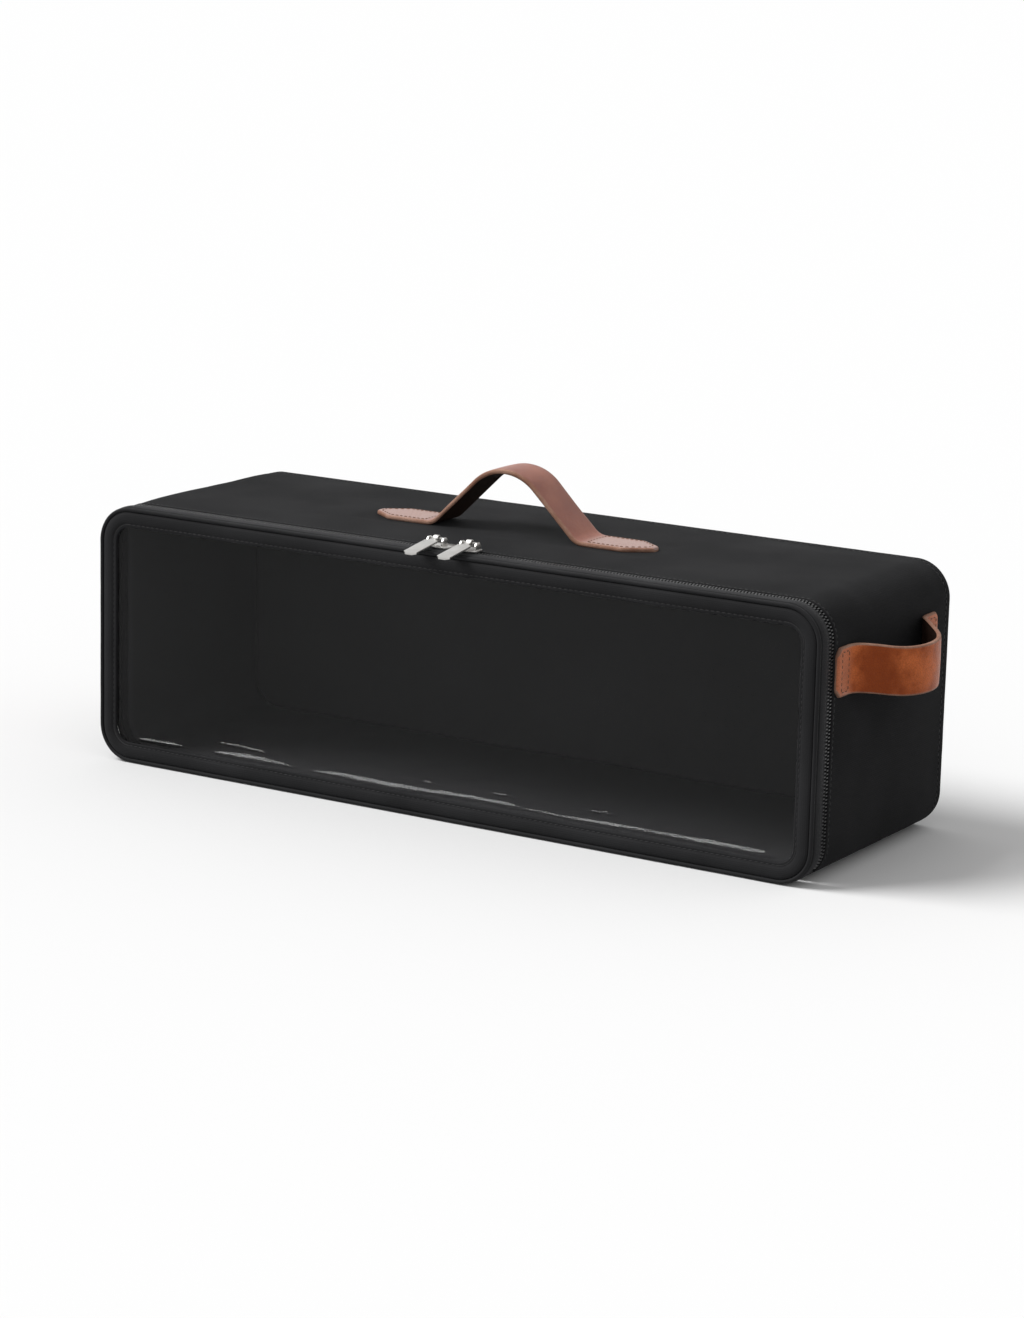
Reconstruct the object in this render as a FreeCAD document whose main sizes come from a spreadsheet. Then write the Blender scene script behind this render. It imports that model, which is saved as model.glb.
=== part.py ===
"""A soft-sided storage box for compact discs: a padded fabric sleeve that lies on its long side.

Its front is a clear window in a shallow frame. A two-way zip runs round the frame's left, top and
right sides, and the frame folds down about its lower edge. Leather straps make a carrying handle on
the top and a pulling handle on each end.

Millimetres, +Z up. X runs along the width, to the right seen from the front, and the window faces -Y.
The origin is the middle of the underside.
"""
import FreeCAD, Part
import math
import os
import Sketcher

V = FreeCAD.Vector
PARALLEL = 1e-6  # sine of the angle below which two directions count as parallel

SIZES = [
    ("box_width", 450.0, "outer width"),
    ("box_depth", 150.0, "outer depth, window to back"),
    ("box_height", 145.0, "outer height"),
    ("corner_radius", 20.0, "outer radius of the four long edges"),
    ("cover_thickness", 1.2, "outer fabric"),
    ("board_thickness", 2.0, "stiffening board"),
    ("lining_thickness", 0.8, "inner fabric"),
    ("welt_radius", 1.1, "round welt along the front and back edges"),
    ("welt_bite", 0.3, "how far the welt's flange sits into its bead"),
    ("flange_thickness", 0.6, "welt flange, sewn between the panels"),
    ("flange_inset", 0.3, "outer edge of the flange, in from the outline"),
    ("front_flange_reach", 4.6, "inner edge of the front flange, in from the outline"),
    ("border_width", 11.0, "fabric border round the window"),
    ("border_thickness", 1.2, "fabric border"),
    ("film_thickness", 0.4, "clear window film"),
    ("film_clearance", 0.2, "between the film's edge and the welt flange"),
    ("rim_depth", 13.0, "window plane to the middle of the zip"),
    ("zip_opening", 5.2, "between the fabric edges on both sides of the zip"),
    ("tape_thickness", 0.6, "zip tape"),
    ("tape_edge_gap", 0.9, "middle of the zip to the tape's edge"),
    ("tooth_pitch", 3.8, "spacing of the teeth along one tape"),
    ("tooth_length", 1.9, "root to tip, across the zip"),
    ("tooth_tip_gap", 0.5, "middle of the zip to the tooth tips"),
    ("tooth_root_width", 2.3, "along the zip"),
    ("tooth_tip_width", 1.6, "along the zip"),
    ("tooth_thickness", 1.1, "height on the tape"),
    ("stop_width", 3.4, "moulded stop at each end of a row of teeth"),
    ("stop_gap", 0.8, "last tooth to the stop"),
    ("zip_wrap_angle", 60.0, "degrees of the lower corners that the zip goes round"),
    ("binding_width", 5.4, "band that closes the front edge of the case wall"),
    ("rim_strip_thickness", 1.5, "stiffener in the frame's rim"),
    ("rim_strip_setback", 0.6, "rim cover's edge to the stiffener's edge"),
    ("swing_clearance", 0.5, "between the folding frame and the case"),
    ("hinge_strip_width", 2.0, "doubled fabric that the frame is sewn to"),
    ("seam_gap", 2.0, "between the case's lip and the ends of the frame's rim"),
    ("slider_length", 16.0, "nose to tail"),
    ("slider_width", 10.8, "top plate"),
    ("slider_nose_width", 6.4, "top plate, at the nose"),
    ("slider_shoulder", 2.2, "nose to the full width"),
    ("slider_waist", 7.2, "nose to where the top plate narrows"),
    ("slider_tail_width", 7.0, "top plate, near the tail"),
    ("slider_tail_corner", 1.2, "length of the cut corners at the tail"),
    ("slider_tail_end", 5.6, "top plate, at the tail's end"),
    ("slider_plate", 1.0, "thickness of the top plate"),
    ("slider_lift", 0.6, "clearance under the top plate"),
    ("slider_sole_width", 4.2, "plate under the tape"),
    ("slider_sole", 0.9, "thickness of the plate under the tape"),
    ("slider_sole_clearance", 0.35, "between that plate and the tape"),
    ("slider_sole_inset", 0.5, "how much shorter that plate is at each end"),
    ("slider_post_width", 0.6, "post between the rows of teeth"),
    ("slider_post_start", 2.2, "nose to the post"),
    ("slider_post_length", 4.0, "post along the zip"),
    ("slider_meet_gap", 0.3, "each slider's nose to the place where they meet"),
    ("bridge_bar", 1.1, "square bar that carries the pull"),
    ("bridge_leg", 1.2, "width of the bridge's legs"),
    ("bridge_start", 5.0, "nose to the bridge"),
    ("bridge_end", 0.9, "bridge to the tail"),
    ("bridge_corner", 0.9, "cut on the bridge's upper corners"),
    ("pivot_height", 4.9, "middle of the bar above the box's top"),
    ("pull_eye_outer", 1.75, "outer radius of the pull's eye"),
    ("pull_eye_clearance", 0.27, "between the eye and the corners of the bar"),
    ("pull_eye_width", 3.0, "along the bar"),
    ("pull_length", 28.0, "pivot to tip"),
    ("pull_width", 8.0, "tab"),
    ("pull_thickness", 1.2, "tab"),
    ("pull_neck", 4.2, "pivot to the end of the tab's narrow neck"),
    ("pull_shoulder", 5.6, "pivot to the tab's full width"),
    ("pull_tip_cut", 2.0, "cut on the tip's corners"),
    ("pull_droop", 8.5, "degrees that the tab hangs down at rest"),
    ("strap_width", 26.0, "handle strap"),
    ("strap_thickness", 2.4, "handle strap"),
    ("foot_radius", 12.0, "bend where the strap leaves the box, inner face"),
    ("flank_angle", 44.0, "degrees, slope of the strap's flanks"),
    ("top_rise", 33.5, "finger room under the top handle"),
    ("top_foot", 50.0, "middle of the top handle to its bend"),
    ("top_tip", 88.0, "middle of the top handle to its tip"),
    ("top_taper", 14.0, "length of the pointed tip"),
    ("top_point_width", 6.0, "width of the pointed tip's end"),
    ("side_rise", 24.6, "finger room under an end handle"),
    ("side_foot", 45.0, "middle of an end handle to its bend"),
    ("side_tip", 57.0, "middle of an end handle to its tip"),
    ("side_taper", 3.0, "length of the clipped corners"),
    ("side_point_width", 20.0, "width of the clipped tip's end"),
    ("side_drop", 36.0, "middle of an end handle below the box's top"),
    ("side_shift", 1.0, "middle of an end handle in front of the middle of the box"),
    ("strap_lift", 0.8, "between the strap's moving loop and its sewn ends"),
    ("strap_end_margin", 0.4, "the loop's round end past the strap's edge"),
    ("cut_margin", 1.0, "how far a cutting shape runs past what it cuts"),
]

doc = FreeCAD.newDocument("DiscBox")
sheet = doc.addObject("Spreadsheet::Sheet", "Sizes")
for row, (alias, number, meaning) in enumerate(SIZES, start=1):
    sheet.set(f"A{row}", meaning)
    sheet.set(f"B{row}", str(number))
    sheet.setAlias(f"B{row}", alias)
doc.recompute()

# Places worked out from the sizes, as expressions. Y places first, from the window to the back.
FRONT = "(-Sizes.box_depth / 2)"
BACK = "(Sizes.box_depth / 2)"
HALF_WIDTH = "(Sizes.box_width / 2)"
STRAIGHT = "(Sizes.box_width / 2 - Sizes.corner_radius)"
WALL = "(Sizes.cover_thickness + Sizes.board_thickness + Sizes.lining_thickness)"
WELT = "(2 * Sizes.welt_radius)"
FRONT_PANEL_BACK = f"({FRONT} + {WELT} - Sizes.welt_bite)"
FRONT_FLANGE_BACK = f"({FRONT_PANEL_BACK} + Sizes.flange_thickness)"
ZIP = f"({FRONT} + Sizes.rim_depth)"
RIM_EDGE = f"({ZIP} - Sizes.zip_opening / 2)"
CASE_EDGE = f"({ZIP} + Sizes.zip_opening / 2)"
BOARD_FRONT = f"({CASE_EDGE} + Sizes.binding_width)"
STRIP_FRONT = f"({FRONT_FLANGE_BACK} + Sizes.swing_clearance)"
LIP_FRONT = f"({STRIP_FRONT} + Sizes.hinge_strip_width)"
BACK_PANEL = f"({BACK} - {WELT} + Sizes.welt_bite)"
BACK_FLANGE = f"({BACK_PANEL} - Sizes.flange_thickness)"
BACK_BOARD = f"({BACK_PANEL} - Sizes.board_thickness)"
BACK_LINING = f"({BACK_BOARD} - Sizes.lining_thickness)"

# Depths into the wall, measured inwards from the box's outline.
UNDER_COVER = "Sizes.cover_thickness"
UNDER_TAPE = "(Sizes.cover_thickness + Sizes.tape_thickness)"
UNDER_BOARD = "(Sizes.cover_thickness + Sizes.board_thickness)"

LIP_HALF = f"({STRAIGHT} - Sizes.seam_gap)"


def value(expression):
    """The number that an expression gives with the sheet's sizes."""
    return float(sheet.evalExpression(expression))


def new_body(label):
    body = doc.addObject("PartDesign::Body", label)
    body.Label = label
    body.AllowCompound = True
    return body


def new_sketch(body, role, name, offset="0"):
    """A sketch on one of the body's own origin planes, moved along the plane's normal."""
    plane = next(f for f in body.Origin.OriginFeatures if f.Role == role)
    sketch = body.newObject("Sketcher::SketchObject", f"{body.Name}_{name}")
    sketch.AttachmentSupport = (plane, [""])
    sketch.MapMode = "FlatFace"
    sketch.setExpression("AttachmentOffset.Base.z", offset)
    return sketch


def section_sketch(body, name, place):
    """A sketch in the upright plane at Y = place: its axes are X and Z, and it faces -Y."""
    return new_sketch(body, "XZ_Plane", name, f"-{place}")


def bind(sketch, constraint, name, expression):
    """Add a dimension that follows an expression."""
    index = sketch.addConstraint(constraint)
    sketch.renameConstraint(index, name)
    sketch.setExpression(f"Constraints.{name}", expression)


def bind_point(sketch, element, end, name, across, up):
    """Hold one end of an element at (across, up)."""
    bind(sketch, Sketcher.Constraint("DistanceX", -1, 1, element, end, value(across)), f"{name}_x", across)
    bind(sketch, Sketcher.Constraint("DistanceY", -1, 1, element, end, value(up)), f"{name}_y", up)


def add_polygon(sketch, corners, name="corner"):
    """A closed polygon with each corner held by a pair of expressions."""
    points = [V(value(across), value(up), 0) for across, up in corners]
    count = len(points)
    first = sketch.GeometryCount
    for i in range(count):
        sketch.addGeometry(Part.LineSegment(points[i], points[(i + 1) % count]), False)
    for i in range(count):
        sketch.addConstraint(Sketcher.Constraint("Coincident", first + i, 2, first + (i + 1) % count, 1))
    for i, (across, up) in enumerate(corners):
        bind_point(sketch, first + i, 1, f"{name}_{i}", across, up)


def add_rectangle(sketch, left, right, low, high, name="corner"):
    add_polygon(sketch, [(left, low), (right, low), (right, high), (left, high)], name)


def add_outline(sketch, inset, name):
    """The box's rounded section, moved inwards by inset."""
    half = value(f"{HALF_WIDTH} - {inset}")
    low = value(inset)
    high = value(f"Sizes.box_height - {inset}")
    radius = value(f"Sizes.corner_radius - {inset}")
    straight = half - radius
    sides = [
        (V(-straight, low, 0), V(straight, low, 0)),
        (V(half, low + radius, 0), V(half, high - radius, 0)),
        (V(straight, high, 0), V(-straight, high, 0)),
        (V(-half, high - radius, 0), V(-half, low + radius, 0)),
    ]
    centres = [(straight, low + radius), (straight, high - radius), (-straight, high - radius),
               (-straight, low + radius)]
    first = sketch.GeometryCount
    for i in range(4):
        sketch.addGeometry(Part.LineSegment(*sides[i]), False)
        circle = Part.Circle(V(centres[i][0], centres[i][1], 0), V(0, 0, 1), radius)
        start = math.radians(90 * i - 90)
        sketch.addGeometry(Part.ArcOfCircle(circle, start, start + math.pi / 2), False)
    for i in range(8):
        sketch.addConstraint(Sketcher.Constraint("Tangent", first + i, 2, first + (i + 1) % 8, 1))
    bottom, right, top, left = first, first + 2, first + 4, first + 6
    for line in (bottom, top):
        sketch.addConstraint(Sketcher.Constraint("Horizontal", line))
    for line in (right, left):
        sketch.addConstraint(Sketcher.Constraint("Vertical", line))
    for i in (3, 5, 7):
        sketch.addConstraint(Sketcher.Constraint("Equal", first + 1, first + i))
    bind(sketch, Sketcher.Constraint("Radius", first + 1, radius), f"{name}_radius",
         f"Sizes.corner_radius - {inset}")
    bind(sketch, Sketcher.Constraint("DistanceX", -1, 1, right, 1, half), f"{name}_right",
         f"{HALF_WIDTH} - {inset}")
    bind(sketch, Sketcher.Constraint("DistanceX", left, 1, -1, 1, half), f"{name}_left",
         f"{HALF_WIDTH} - {inset}")
    bind(sketch, Sketcher.Constraint("DistanceY", -1, 1, bottom, 1, low), f"{name}_low", inset)
    bind(sketch, Sketcher.Constraint("DistanceY", -1, 1, top, 1, high), f"{name}_high",
         f"Sizes.box_height - {inset}")


def add_pad(body, sketch, name, length, reverse=False, centred=False):
    pad = body.newObject("PartDesign::Pad", f"{body.Name}_{name}")
    pad.Profile = sketch
    pad.setExpression("Length", length)
    pad.Reversed = reverse
    pad.Midplane = centred
    sketch.Visibility = False
    return pad


def add_through_pocket(body, sketch, name):
    """Cut the sketch's shape right through, both ways from its plane."""
    pocket = body.newObject("PartDesign::Pocket", f"{body.Name}_{name}")
    pocket.Profile = sketch
    pocket.Midplane = True
    pocket.setExpression("Length", "4 * (Sizes.box_width + Sizes.box_depth)")
    sketch.Visibility = False
    return pocket


def add_band(body, name, outer, inner, front, back):
    """A band of the wall between two depths, from Y = front to Y = back."""
    sketch = section_sketch(body, f"{name}_section", front)
    add_outline(sketch, outer, "outer")
    if inner is not None:
        add_outline(sketch, inner, "inner")
    return add_pad(body, sketch, name, f"{back} - {front}", reverse=True)


def add_slab(body, name, half, low, high, front, back):
    """A flat slab centred on X = 0."""
    sketch = section_sketch(body, f"{name}_section", front)
    add_rectangle(sketch, f"-{half}", half, low, high)
    return add_pad(body, sketch, name, f"{back} - {front}", reverse=True)


def cut_bottom_run(body):
    """Take the straight run along the bottom out of a band, which leaves its sides and top."""
    sketch = section_sketch(body, "bottom_run", "0")
    add_rectangle(sketch, f"-{STRAIGHT}", STRAIGHT, "-Sizes.cut_margin", f"({WALL} + Sizes.cut_margin)")
    add_through_pocket(body, sketch, "bottom_run_cut")


def make_outer_cover():
    """Outer fabric: a tube, with a lip along the bottom that reaches forward to the hinge."""
    body = new_body("outer_cover")
    add_band(body, "tube", "0", UNDER_COVER, CASE_EDGE, BACK_FLANGE)
    add_slab(body, "lip", LIP_HALF, "0", UNDER_COVER, LIP_FRONT, CASE_EDGE)
    return body


def make_sleeve_board():
    """Stiffening board, folded to the same tube."""
    body = new_body("sleeve_board")
    add_band(body, "tube", UNDER_COVER, UNDER_BOARD, BOARD_FRONT, BACK_FLANGE)
    add_slab(body, "lip", LIP_HALF, UNDER_COVER, UNDER_BOARD, LIP_FRONT, BOARD_FRONT)
    return body


def make_lining():
    """Inner fabric, closed at the back."""
    body = new_body("lining")
    add_band(body, "tube", UNDER_BOARD, WALL, BOARD_FRONT, BACK_LINING)
    add_band(body, "sheet", UNDER_BOARD, None, BACK_LINING, BACK_BOARD)
    add_slab(body, "lip", LIP_HALF, UNDER_BOARD, WALL, LIP_FRONT, BOARD_FRONT)
    return body


def make_back_board():
    body = new_body("back_board")
    add_band(body, "plate", UNDER_BOARD, None, BACK_BOARD, BACK_PANEL)
    return body


def make_back_cover():
    body = new_body("back_cover")
    add_band(body, "plate", WELT, None, BACK_PANEL, f"({BACK_PANEL} + Sizes.cover_thickness)")
    return body


def make_welt(label, front, flange_front, flange_reach):
    """An eight-sided bead along the whole outline, with a flat flange that is sewn between the panels."""
    body = new_body(label)
    bead = add_band(body, "bead", "0", WELT, front, f"({front} + {WELT})")
    doc.recompute()
    flat = V(0, 1, 0)
    caps = []
    for index, face in enumerate(bead.Shape.Faces, start=1):
        if face.normalAt(0, 0).cross(flat).Length < PARALLEL:
            caps.append(f"Face{index}")
    bevel = body.newObject("PartDesign::Chamfer", f"{label}_bevel")
    bevel.Base = (bead, caps)
    bevel.setExpression("Size", "(2 - sqrt(2)) * Sizes.welt_radius")
    doc.recompute()
    add_band(body, "flange", "Sizes.flange_inset", flange_reach, flange_front,
             f"({flange_front} + Sizes.flange_thickness)")
    return body


def make_case_front_binding():
    """Folded band round the front edge of the wall, on the sides and the top."""
    body = new_body("case_front_binding")
    add_band(body, "band", UNDER_TAPE, WALL, CASE_EDGE, BOARD_FRONT)
    cut_bottom_run(body)
    return body


def make_zip_tape(label, front, back):
    body = new_body(label)
    add_band(body, "band", UNDER_COVER, UNDER_TAPE, front, back)
    cut_bottom_run(body)
    return body


def make_hinge_strip():
    """Doubled strip along the lip's front edge, which the folding frame is sewn to."""
    body = new_body("hinge_strip")
    add_slab(body, "strip", LIP_HALF, "0", WALL, STRIP_FRONT, LIP_FRONT)
    return body


def make_rim_cover():
    body = new_body("flap_rim_cover")
    add_band(body, "band", "0", UNDER_COVER, FRONT_FLANGE_BACK, RIM_EDGE)
    cut_bottom_run(body)
    return body


def make_rim_strip():
    """Stiffener that keeps the frame's rim square to the window."""
    body = new_body("flap_rim_strip")
    add_band(body, "band", UNDER_TAPE, f"({UNDER_TAPE} + Sizes.rim_strip_thickness)", FRONT_FLANGE_BACK,
             f"({RIM_EDGE} - Sizes.rim_strip_setback)")
    cut_bottom_run(body)
    return body


def make_window_border():
    body = new_body("window_border")
    add_band(body, "plate", WELT, "Sizes.border_width", f"({FRONT_PANEL_BACK} - Sizes.border_thickness)",
             FRONT_PANEL_BACK)
    return body


def make_window_film():
    body = new_body("window_film")
    add_band(body, "sheet", "(Sizes.front_flange_reach + Sizes.film_clearance)", None, FRONT_PANEL_BACK,
             f"({FRONT_PANEL_BACK} + Sizes.film_thickness)")
    return body


def zip_path(distance):
    """The point on the tape's outer face at a distance along the zip from its middle, to the right.

    It gives the point in X and Z, the direction along the zip and the direction out of the box.
    """
    radius = value("Sizes.corner_radius - Sizes.cover_thickness")
    straight = value(STRAIGHT)
    upright = value("Sizes.box_height - 2 * Sizes.corner_radius")
    top_centre = V(straight, 0, value("Sizes.box_height - Sizes.corner_radius"))
    low_centre = V(straight, 0, value("Sizes.corner_radius"))
    corner = radius * math.pi / 2
    if distance <= straight:
        return top_centre + V(distance - straight, 0, radius), V(1, 0, 0), V(0, 0, 1)
    distance -= straight
    if distance <= corner:
        turn = distance / radius
        out = V(math.sin(turn), 0, math.cos(turn))
        return top_centre + out * radius, V(math.cos(turn), 0, -math.sin(turn)), out
    distance -= corner
    if distance <= upright:
        return top_centre + V(radius, 0, -distance), V(0, 0, -1), V(1, 0, 0)
    turn = (distance - upright) / radius
    out = V(math.cos(turn), 0, -math.sin(turn))
    return low_centre + out * radius, V(-math.sin(turn), 0, -math.cos(turn)), out


def half_zip_length():
    radius = value("Sizes.corner_radius - Sizes.cover_thickness")
    upright = value("Sizes.box_height - 2 * Sizes.corner_radius")
    turn = math.pi / 2 + math.radians(value("Sizes.zip_wrap_angle"))
    return value(STRAIGHT) + upright + radius * turn


def zip_block(distance, side, root_width, tip_width):
    """A tooth or stop: a wedge that stands on the tape, its tip towards the middle of the zip.

    A negative distance is on the left half. side is 1 on the case's tape and -1 on the frame's.
    """
    point, along, out = zip_path(abs(distance))
    if distance < 0:
        point = V(-point.x, point.y, point.z)
        along = V(along.x, along.y, -along.z)
        out = V(-out.x, out.y, out.z)
    tip = value(ZIP) + side * value("Sizes.tooth_tip_gap")
    root = tip + side * value("Sizes.tooth_length")
    corners = []
    for place, width in ((root, root_width), (tip, tip_width)):
        for half in (-width / 2, width / 2):
            corners.append(point + along * half + V(0, place, 0))
    outline = [corners[0], corners[1], corners[3], corners[2], corners[0]]
    face = Part.Face(Part.makePolygon(outline))
    return face.extrude(out * value("Sizes.tooth_thickness"))


def tooth_distances(side):
    """Where the teeth of one tape sit: the case's has one in the middle, and the frame's are between."""
    pitch = value("Sizes.tooth_pitch")
    room = half_zip_length() - value("Sizes.tooth_root_width / 2 + Sizes.stop_gap + Sizes.stop_width")
    count = int(room / pitch - 0.5) + 1
    if side > 0:
        return [index * pitch for index in range(1 - count, count)]
    return [(index + 0.5) * pitch for index in range(-count, count)]


def make_zip_teeth(label, side):
    root_width = value("Sizes.tooth_root_width")
    tip_width = value("Sizes.tooth_tip_width")
    teeth = [zip_block(place, side, root_width, tip_width) for place in tooth_distances(side)]
    feature = doc.addObject("Part::Feature", label)
    feature.Label = label
    feature.Shape = Part.makeCompound(teeth)
    feature.Placement = FreeCAD.Placement()
    return feature


def make_zip_stops(label, side):
    width = value("Sizes.stop_width")
    places = tooth_distances(side)
    reach = value("Sizes.tooth_root_width / 2 + Sizes.stop_gap + Sizes.stop_width / 2")
    ends = (places[0] - reach, places[-1] + reach)
    feature = doc.addObject("Part::Feature", label)
    feature.Label = label
    feature.Shape = Part.makeCompound([zip_block(place, side, width, width) for place in ends])
    feature.Placement = FreeCAD.Placement()
    return feature


SLIDER_BASE = "Sizes.slider_lift"
SLIDER_TOP = "(Sizes.slider_lift + Sizes.slider_plate)"
SOLE_TOP = f"(-{UNDER_TAPE} - Sizes.slider_sole_clearance)"
SOLE_BASE = f"({SOLE_TOP} - Sizes.slider_sole)"
NOSE = "Sizes.slider_meet_gap"
TAIL = "(Sizes.slider_meet_gap + Sizes.slider_length)"
BRIDGE_START = f"({NOSE} + Sizes.bridge_start)"
BRIDGE_END = f"({TAIL} - Sizes.bridge_end)"
BAR_LOW = "(Sizes.pivot_height - Sizes.bridge_bar / 2)"
BAR_HIGH = "(Sizes.pivot_height + Sizes.bridge_bar / 2)"


def make_slider(label, turn):
    """A slider: a shield-shaped plate over the teeth, a sole under the tape, a post and a bridge.

    It is drawn to the right of the place where the sliders meet, with its nose towards that place.
    Its front edge is open below, so the frame's teeth can leave it.
    """
    body = new_body(label)
    plate = new_sketch(body, "XY_Plane", "plate_plan", SLIDER_BASE)
    half_plan = [
        (NOSE, "Sizes.slider_nose_width / 2"),
        (f"({NOSE} + Sizes.slider_shoulder)", "Sizes.slider_width / 2"),
        (f"({NOSE} + Sizes.slider_waist)", "Sizes.slider_width / 2"),
        (f"({TAIL} - Sizes.slider_tail_corner)", "Sizes.slider_tail_width / 2"),
        (TAIL, "Sizes.slider_tail_end / 2"),
    ]
    plan = half_plan + [(across, f"-({up})") for across, up in reversed(half_plan)]
    add_polygon(plate, plan)
    add_pad(body, plate, "plate", "Sizes.slider_plate")

    sole = new_sketch(body, "XY_Plane", "sole_plan", SOLE_BASE)
    half_sole = "Sizes.slider_sole_width / 2"
    inset = "Sizes.slider_sole_inset"
    add_rectangle(sole, f"({NOSE} + {inset})", f"({TAIL} - {inset})", f"-{half_sole}", half_sole)
    add_pad(body, sole, "sole", "Sizes.slider_sole")

    post = new_sketch(body, "XY_Plane", "post_plan", SOLE_TOP)
    half_post = "Sizes.slider_post_width / 2"
    post_start = f"({NOSE} + Sizes.slider_post_start)"
    add_rectangle(post, post_start, f"({post_start} + Sizes.slider_post_length)", f"-{half_post}", half_post)
    add_pad(body, post, "post", f"{SLIDER_BASE} - {SOLE_TOP}")

    bridge = new_sketch(body, "XZ_Plane", "bridge_side")
    cut = "Sizes.bridge_corner"
    leg = "Sizes.bridge_leg"
    add_polygon(bridge, [
        (BRIDGE_START, SLIDER_TOP),
        (f"({BRIDGE_START} + {leg})", SLIDER_TOP),
        (f"({BRIDGE_START} + {leg})", BAR_LOW),
        (f"({BRIDGE_END} - {leg})", BAR_LOW),
        (f"({BRIDGE_END} - {leg})", SLIDER_TOP),
        (BRIDGE_END, SLIDER_TOP),
        (BRIDGE_END, f"({BAR_HIGH} - {cut})"),
        (f"({BRIDGE_END} - {cut})", BAR_HIGH),
        (f"({BRIDGE_START} + {cut})", BAR_HIGH),
        (BRIDGE_START, f"({BAR_HIGH} - {cut})"),
    ])
    add_pad(body, bridge, "bridge", "Sizes.bridge_bar", centred=True)
    body.Placement = FreeCAD.Placement(V(0, 0, 0), FreeCAD.Rotation(V(0, 0, 1), turn))
    body.setExpression("Placement.Base.y", ZIP)
    body.setExpression("Placement.Base.z", "Sizes.box_height")
    return body


def make_pull(label, sign):
    """A stamped tab with an eye folded round the slider's bar. Its pivot is its own origin."""
    body = new_body(label)
    eye = new_sketch(body, "YZ_Plane", "eye_side")
    eye.addGeometry(Part.Circle(V(0, 0, 0), V(0, 0, 1), value("Sizes.pull_eye_outer")), False)
    eye.addConstraint(Sketcher.Constraint("Coincident", 0, 3, -1, 1))
    bind(eye, Sketcher.Constraint("Radius", 0, value("Sizes.pull_eye_outer")), "eye_radius",
         "Sizes.pull_eye_outer")
    add_pad(body, eye, "eye", "Sizes.pull_eye_width", centred=True)

    tab = new_sketch(body, "XY_Plane", "tab_plan")
    neck = "Sizes.pull_eye_width / 2"
    half = "Sizes.pull_width / 2"
    right_side = [
        (neck, "0"),
        (neck, "-Sizes.pull_neck"),
        (half, "-Sizes.pull_shoulder"),
        (half, "(-Sizes.pull_length + Sizes.pull_tip_cut)"),
        (f"({half} - Sizes.pull_tip_cut)", "-Sizes.pull_length"),
    ]
    outline = right_side + [(f"-({across})", up) for across, up in reversed(right_side)]
    add_polygon(tab, outline)
    add_pad(body, tab, "tab", "Sizes.pull_thickness", centred=True)

    hole = new_sketch(body, "YZ_Plane", "hole_side")
    reach = "(Sizes.bridge_bar / sqrt(2) + Sizes.pull_eye_clearance)"
    hole.addGeometry(Part.Circle(V(0, 0, 0), V(0, 0, 1), value(reach)), False)
    hole.addConstraint(Sketcher.Constraint("Coincident", 0, 3, -1, 1))
    bind(hole, Sketcher.Constraint("Radius", 0, value(reach)), "hole_radius", reach)
    add_through_pocket(body, hole, "hole")

    body.Placement = FreeCAD.Placement(V(0, 0, 0), FreeCAD.Rotation(V(1, 0, 0), value("Sizes.pull_droop")))
    body.setExpression("Placement.Base.x", f"{sign} * ({BRIDGE_START} + {BRIDGE_END}) / 2")
    body.setExpression("Placement.Base.y", ZIP)
    body.setExpression("Placement.Base.z", "Sizes.box_height + Sizes.pivot_height")
    return body


LOOP_RADIUS = "(Sizes.strap_width / 2 + Sizes.strap_end_margin)"
SWING_HEIGHT = f"(Sizes.strap_thickness + Sizes.strap_lift + {LOOP_RADIUS})"
FOOT_RISE = "(Sizes.foot_radius * (1 - cos(Sizes.flank_angle)))"
FOOT_RUN = "(Sizes.foot_radius * sin(Sizes.flank_angle))"


def crown_radius(kind):
    """Radius of the crown that joins both flanks at the handle's full rise."""
    run = f"(Sizes.{kind}_foot - {FOOT_RUN})"
    rise = f"(Sizes.{kind}_rise - {FOOT_RISE})"
    across = f"{run} * sin(Sizes.flank_angle) - {rise} * cos(Sizes.flank_angle)"
    return f"(({across}) / (1 - cos(Sizes.flank_angle)))"


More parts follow.
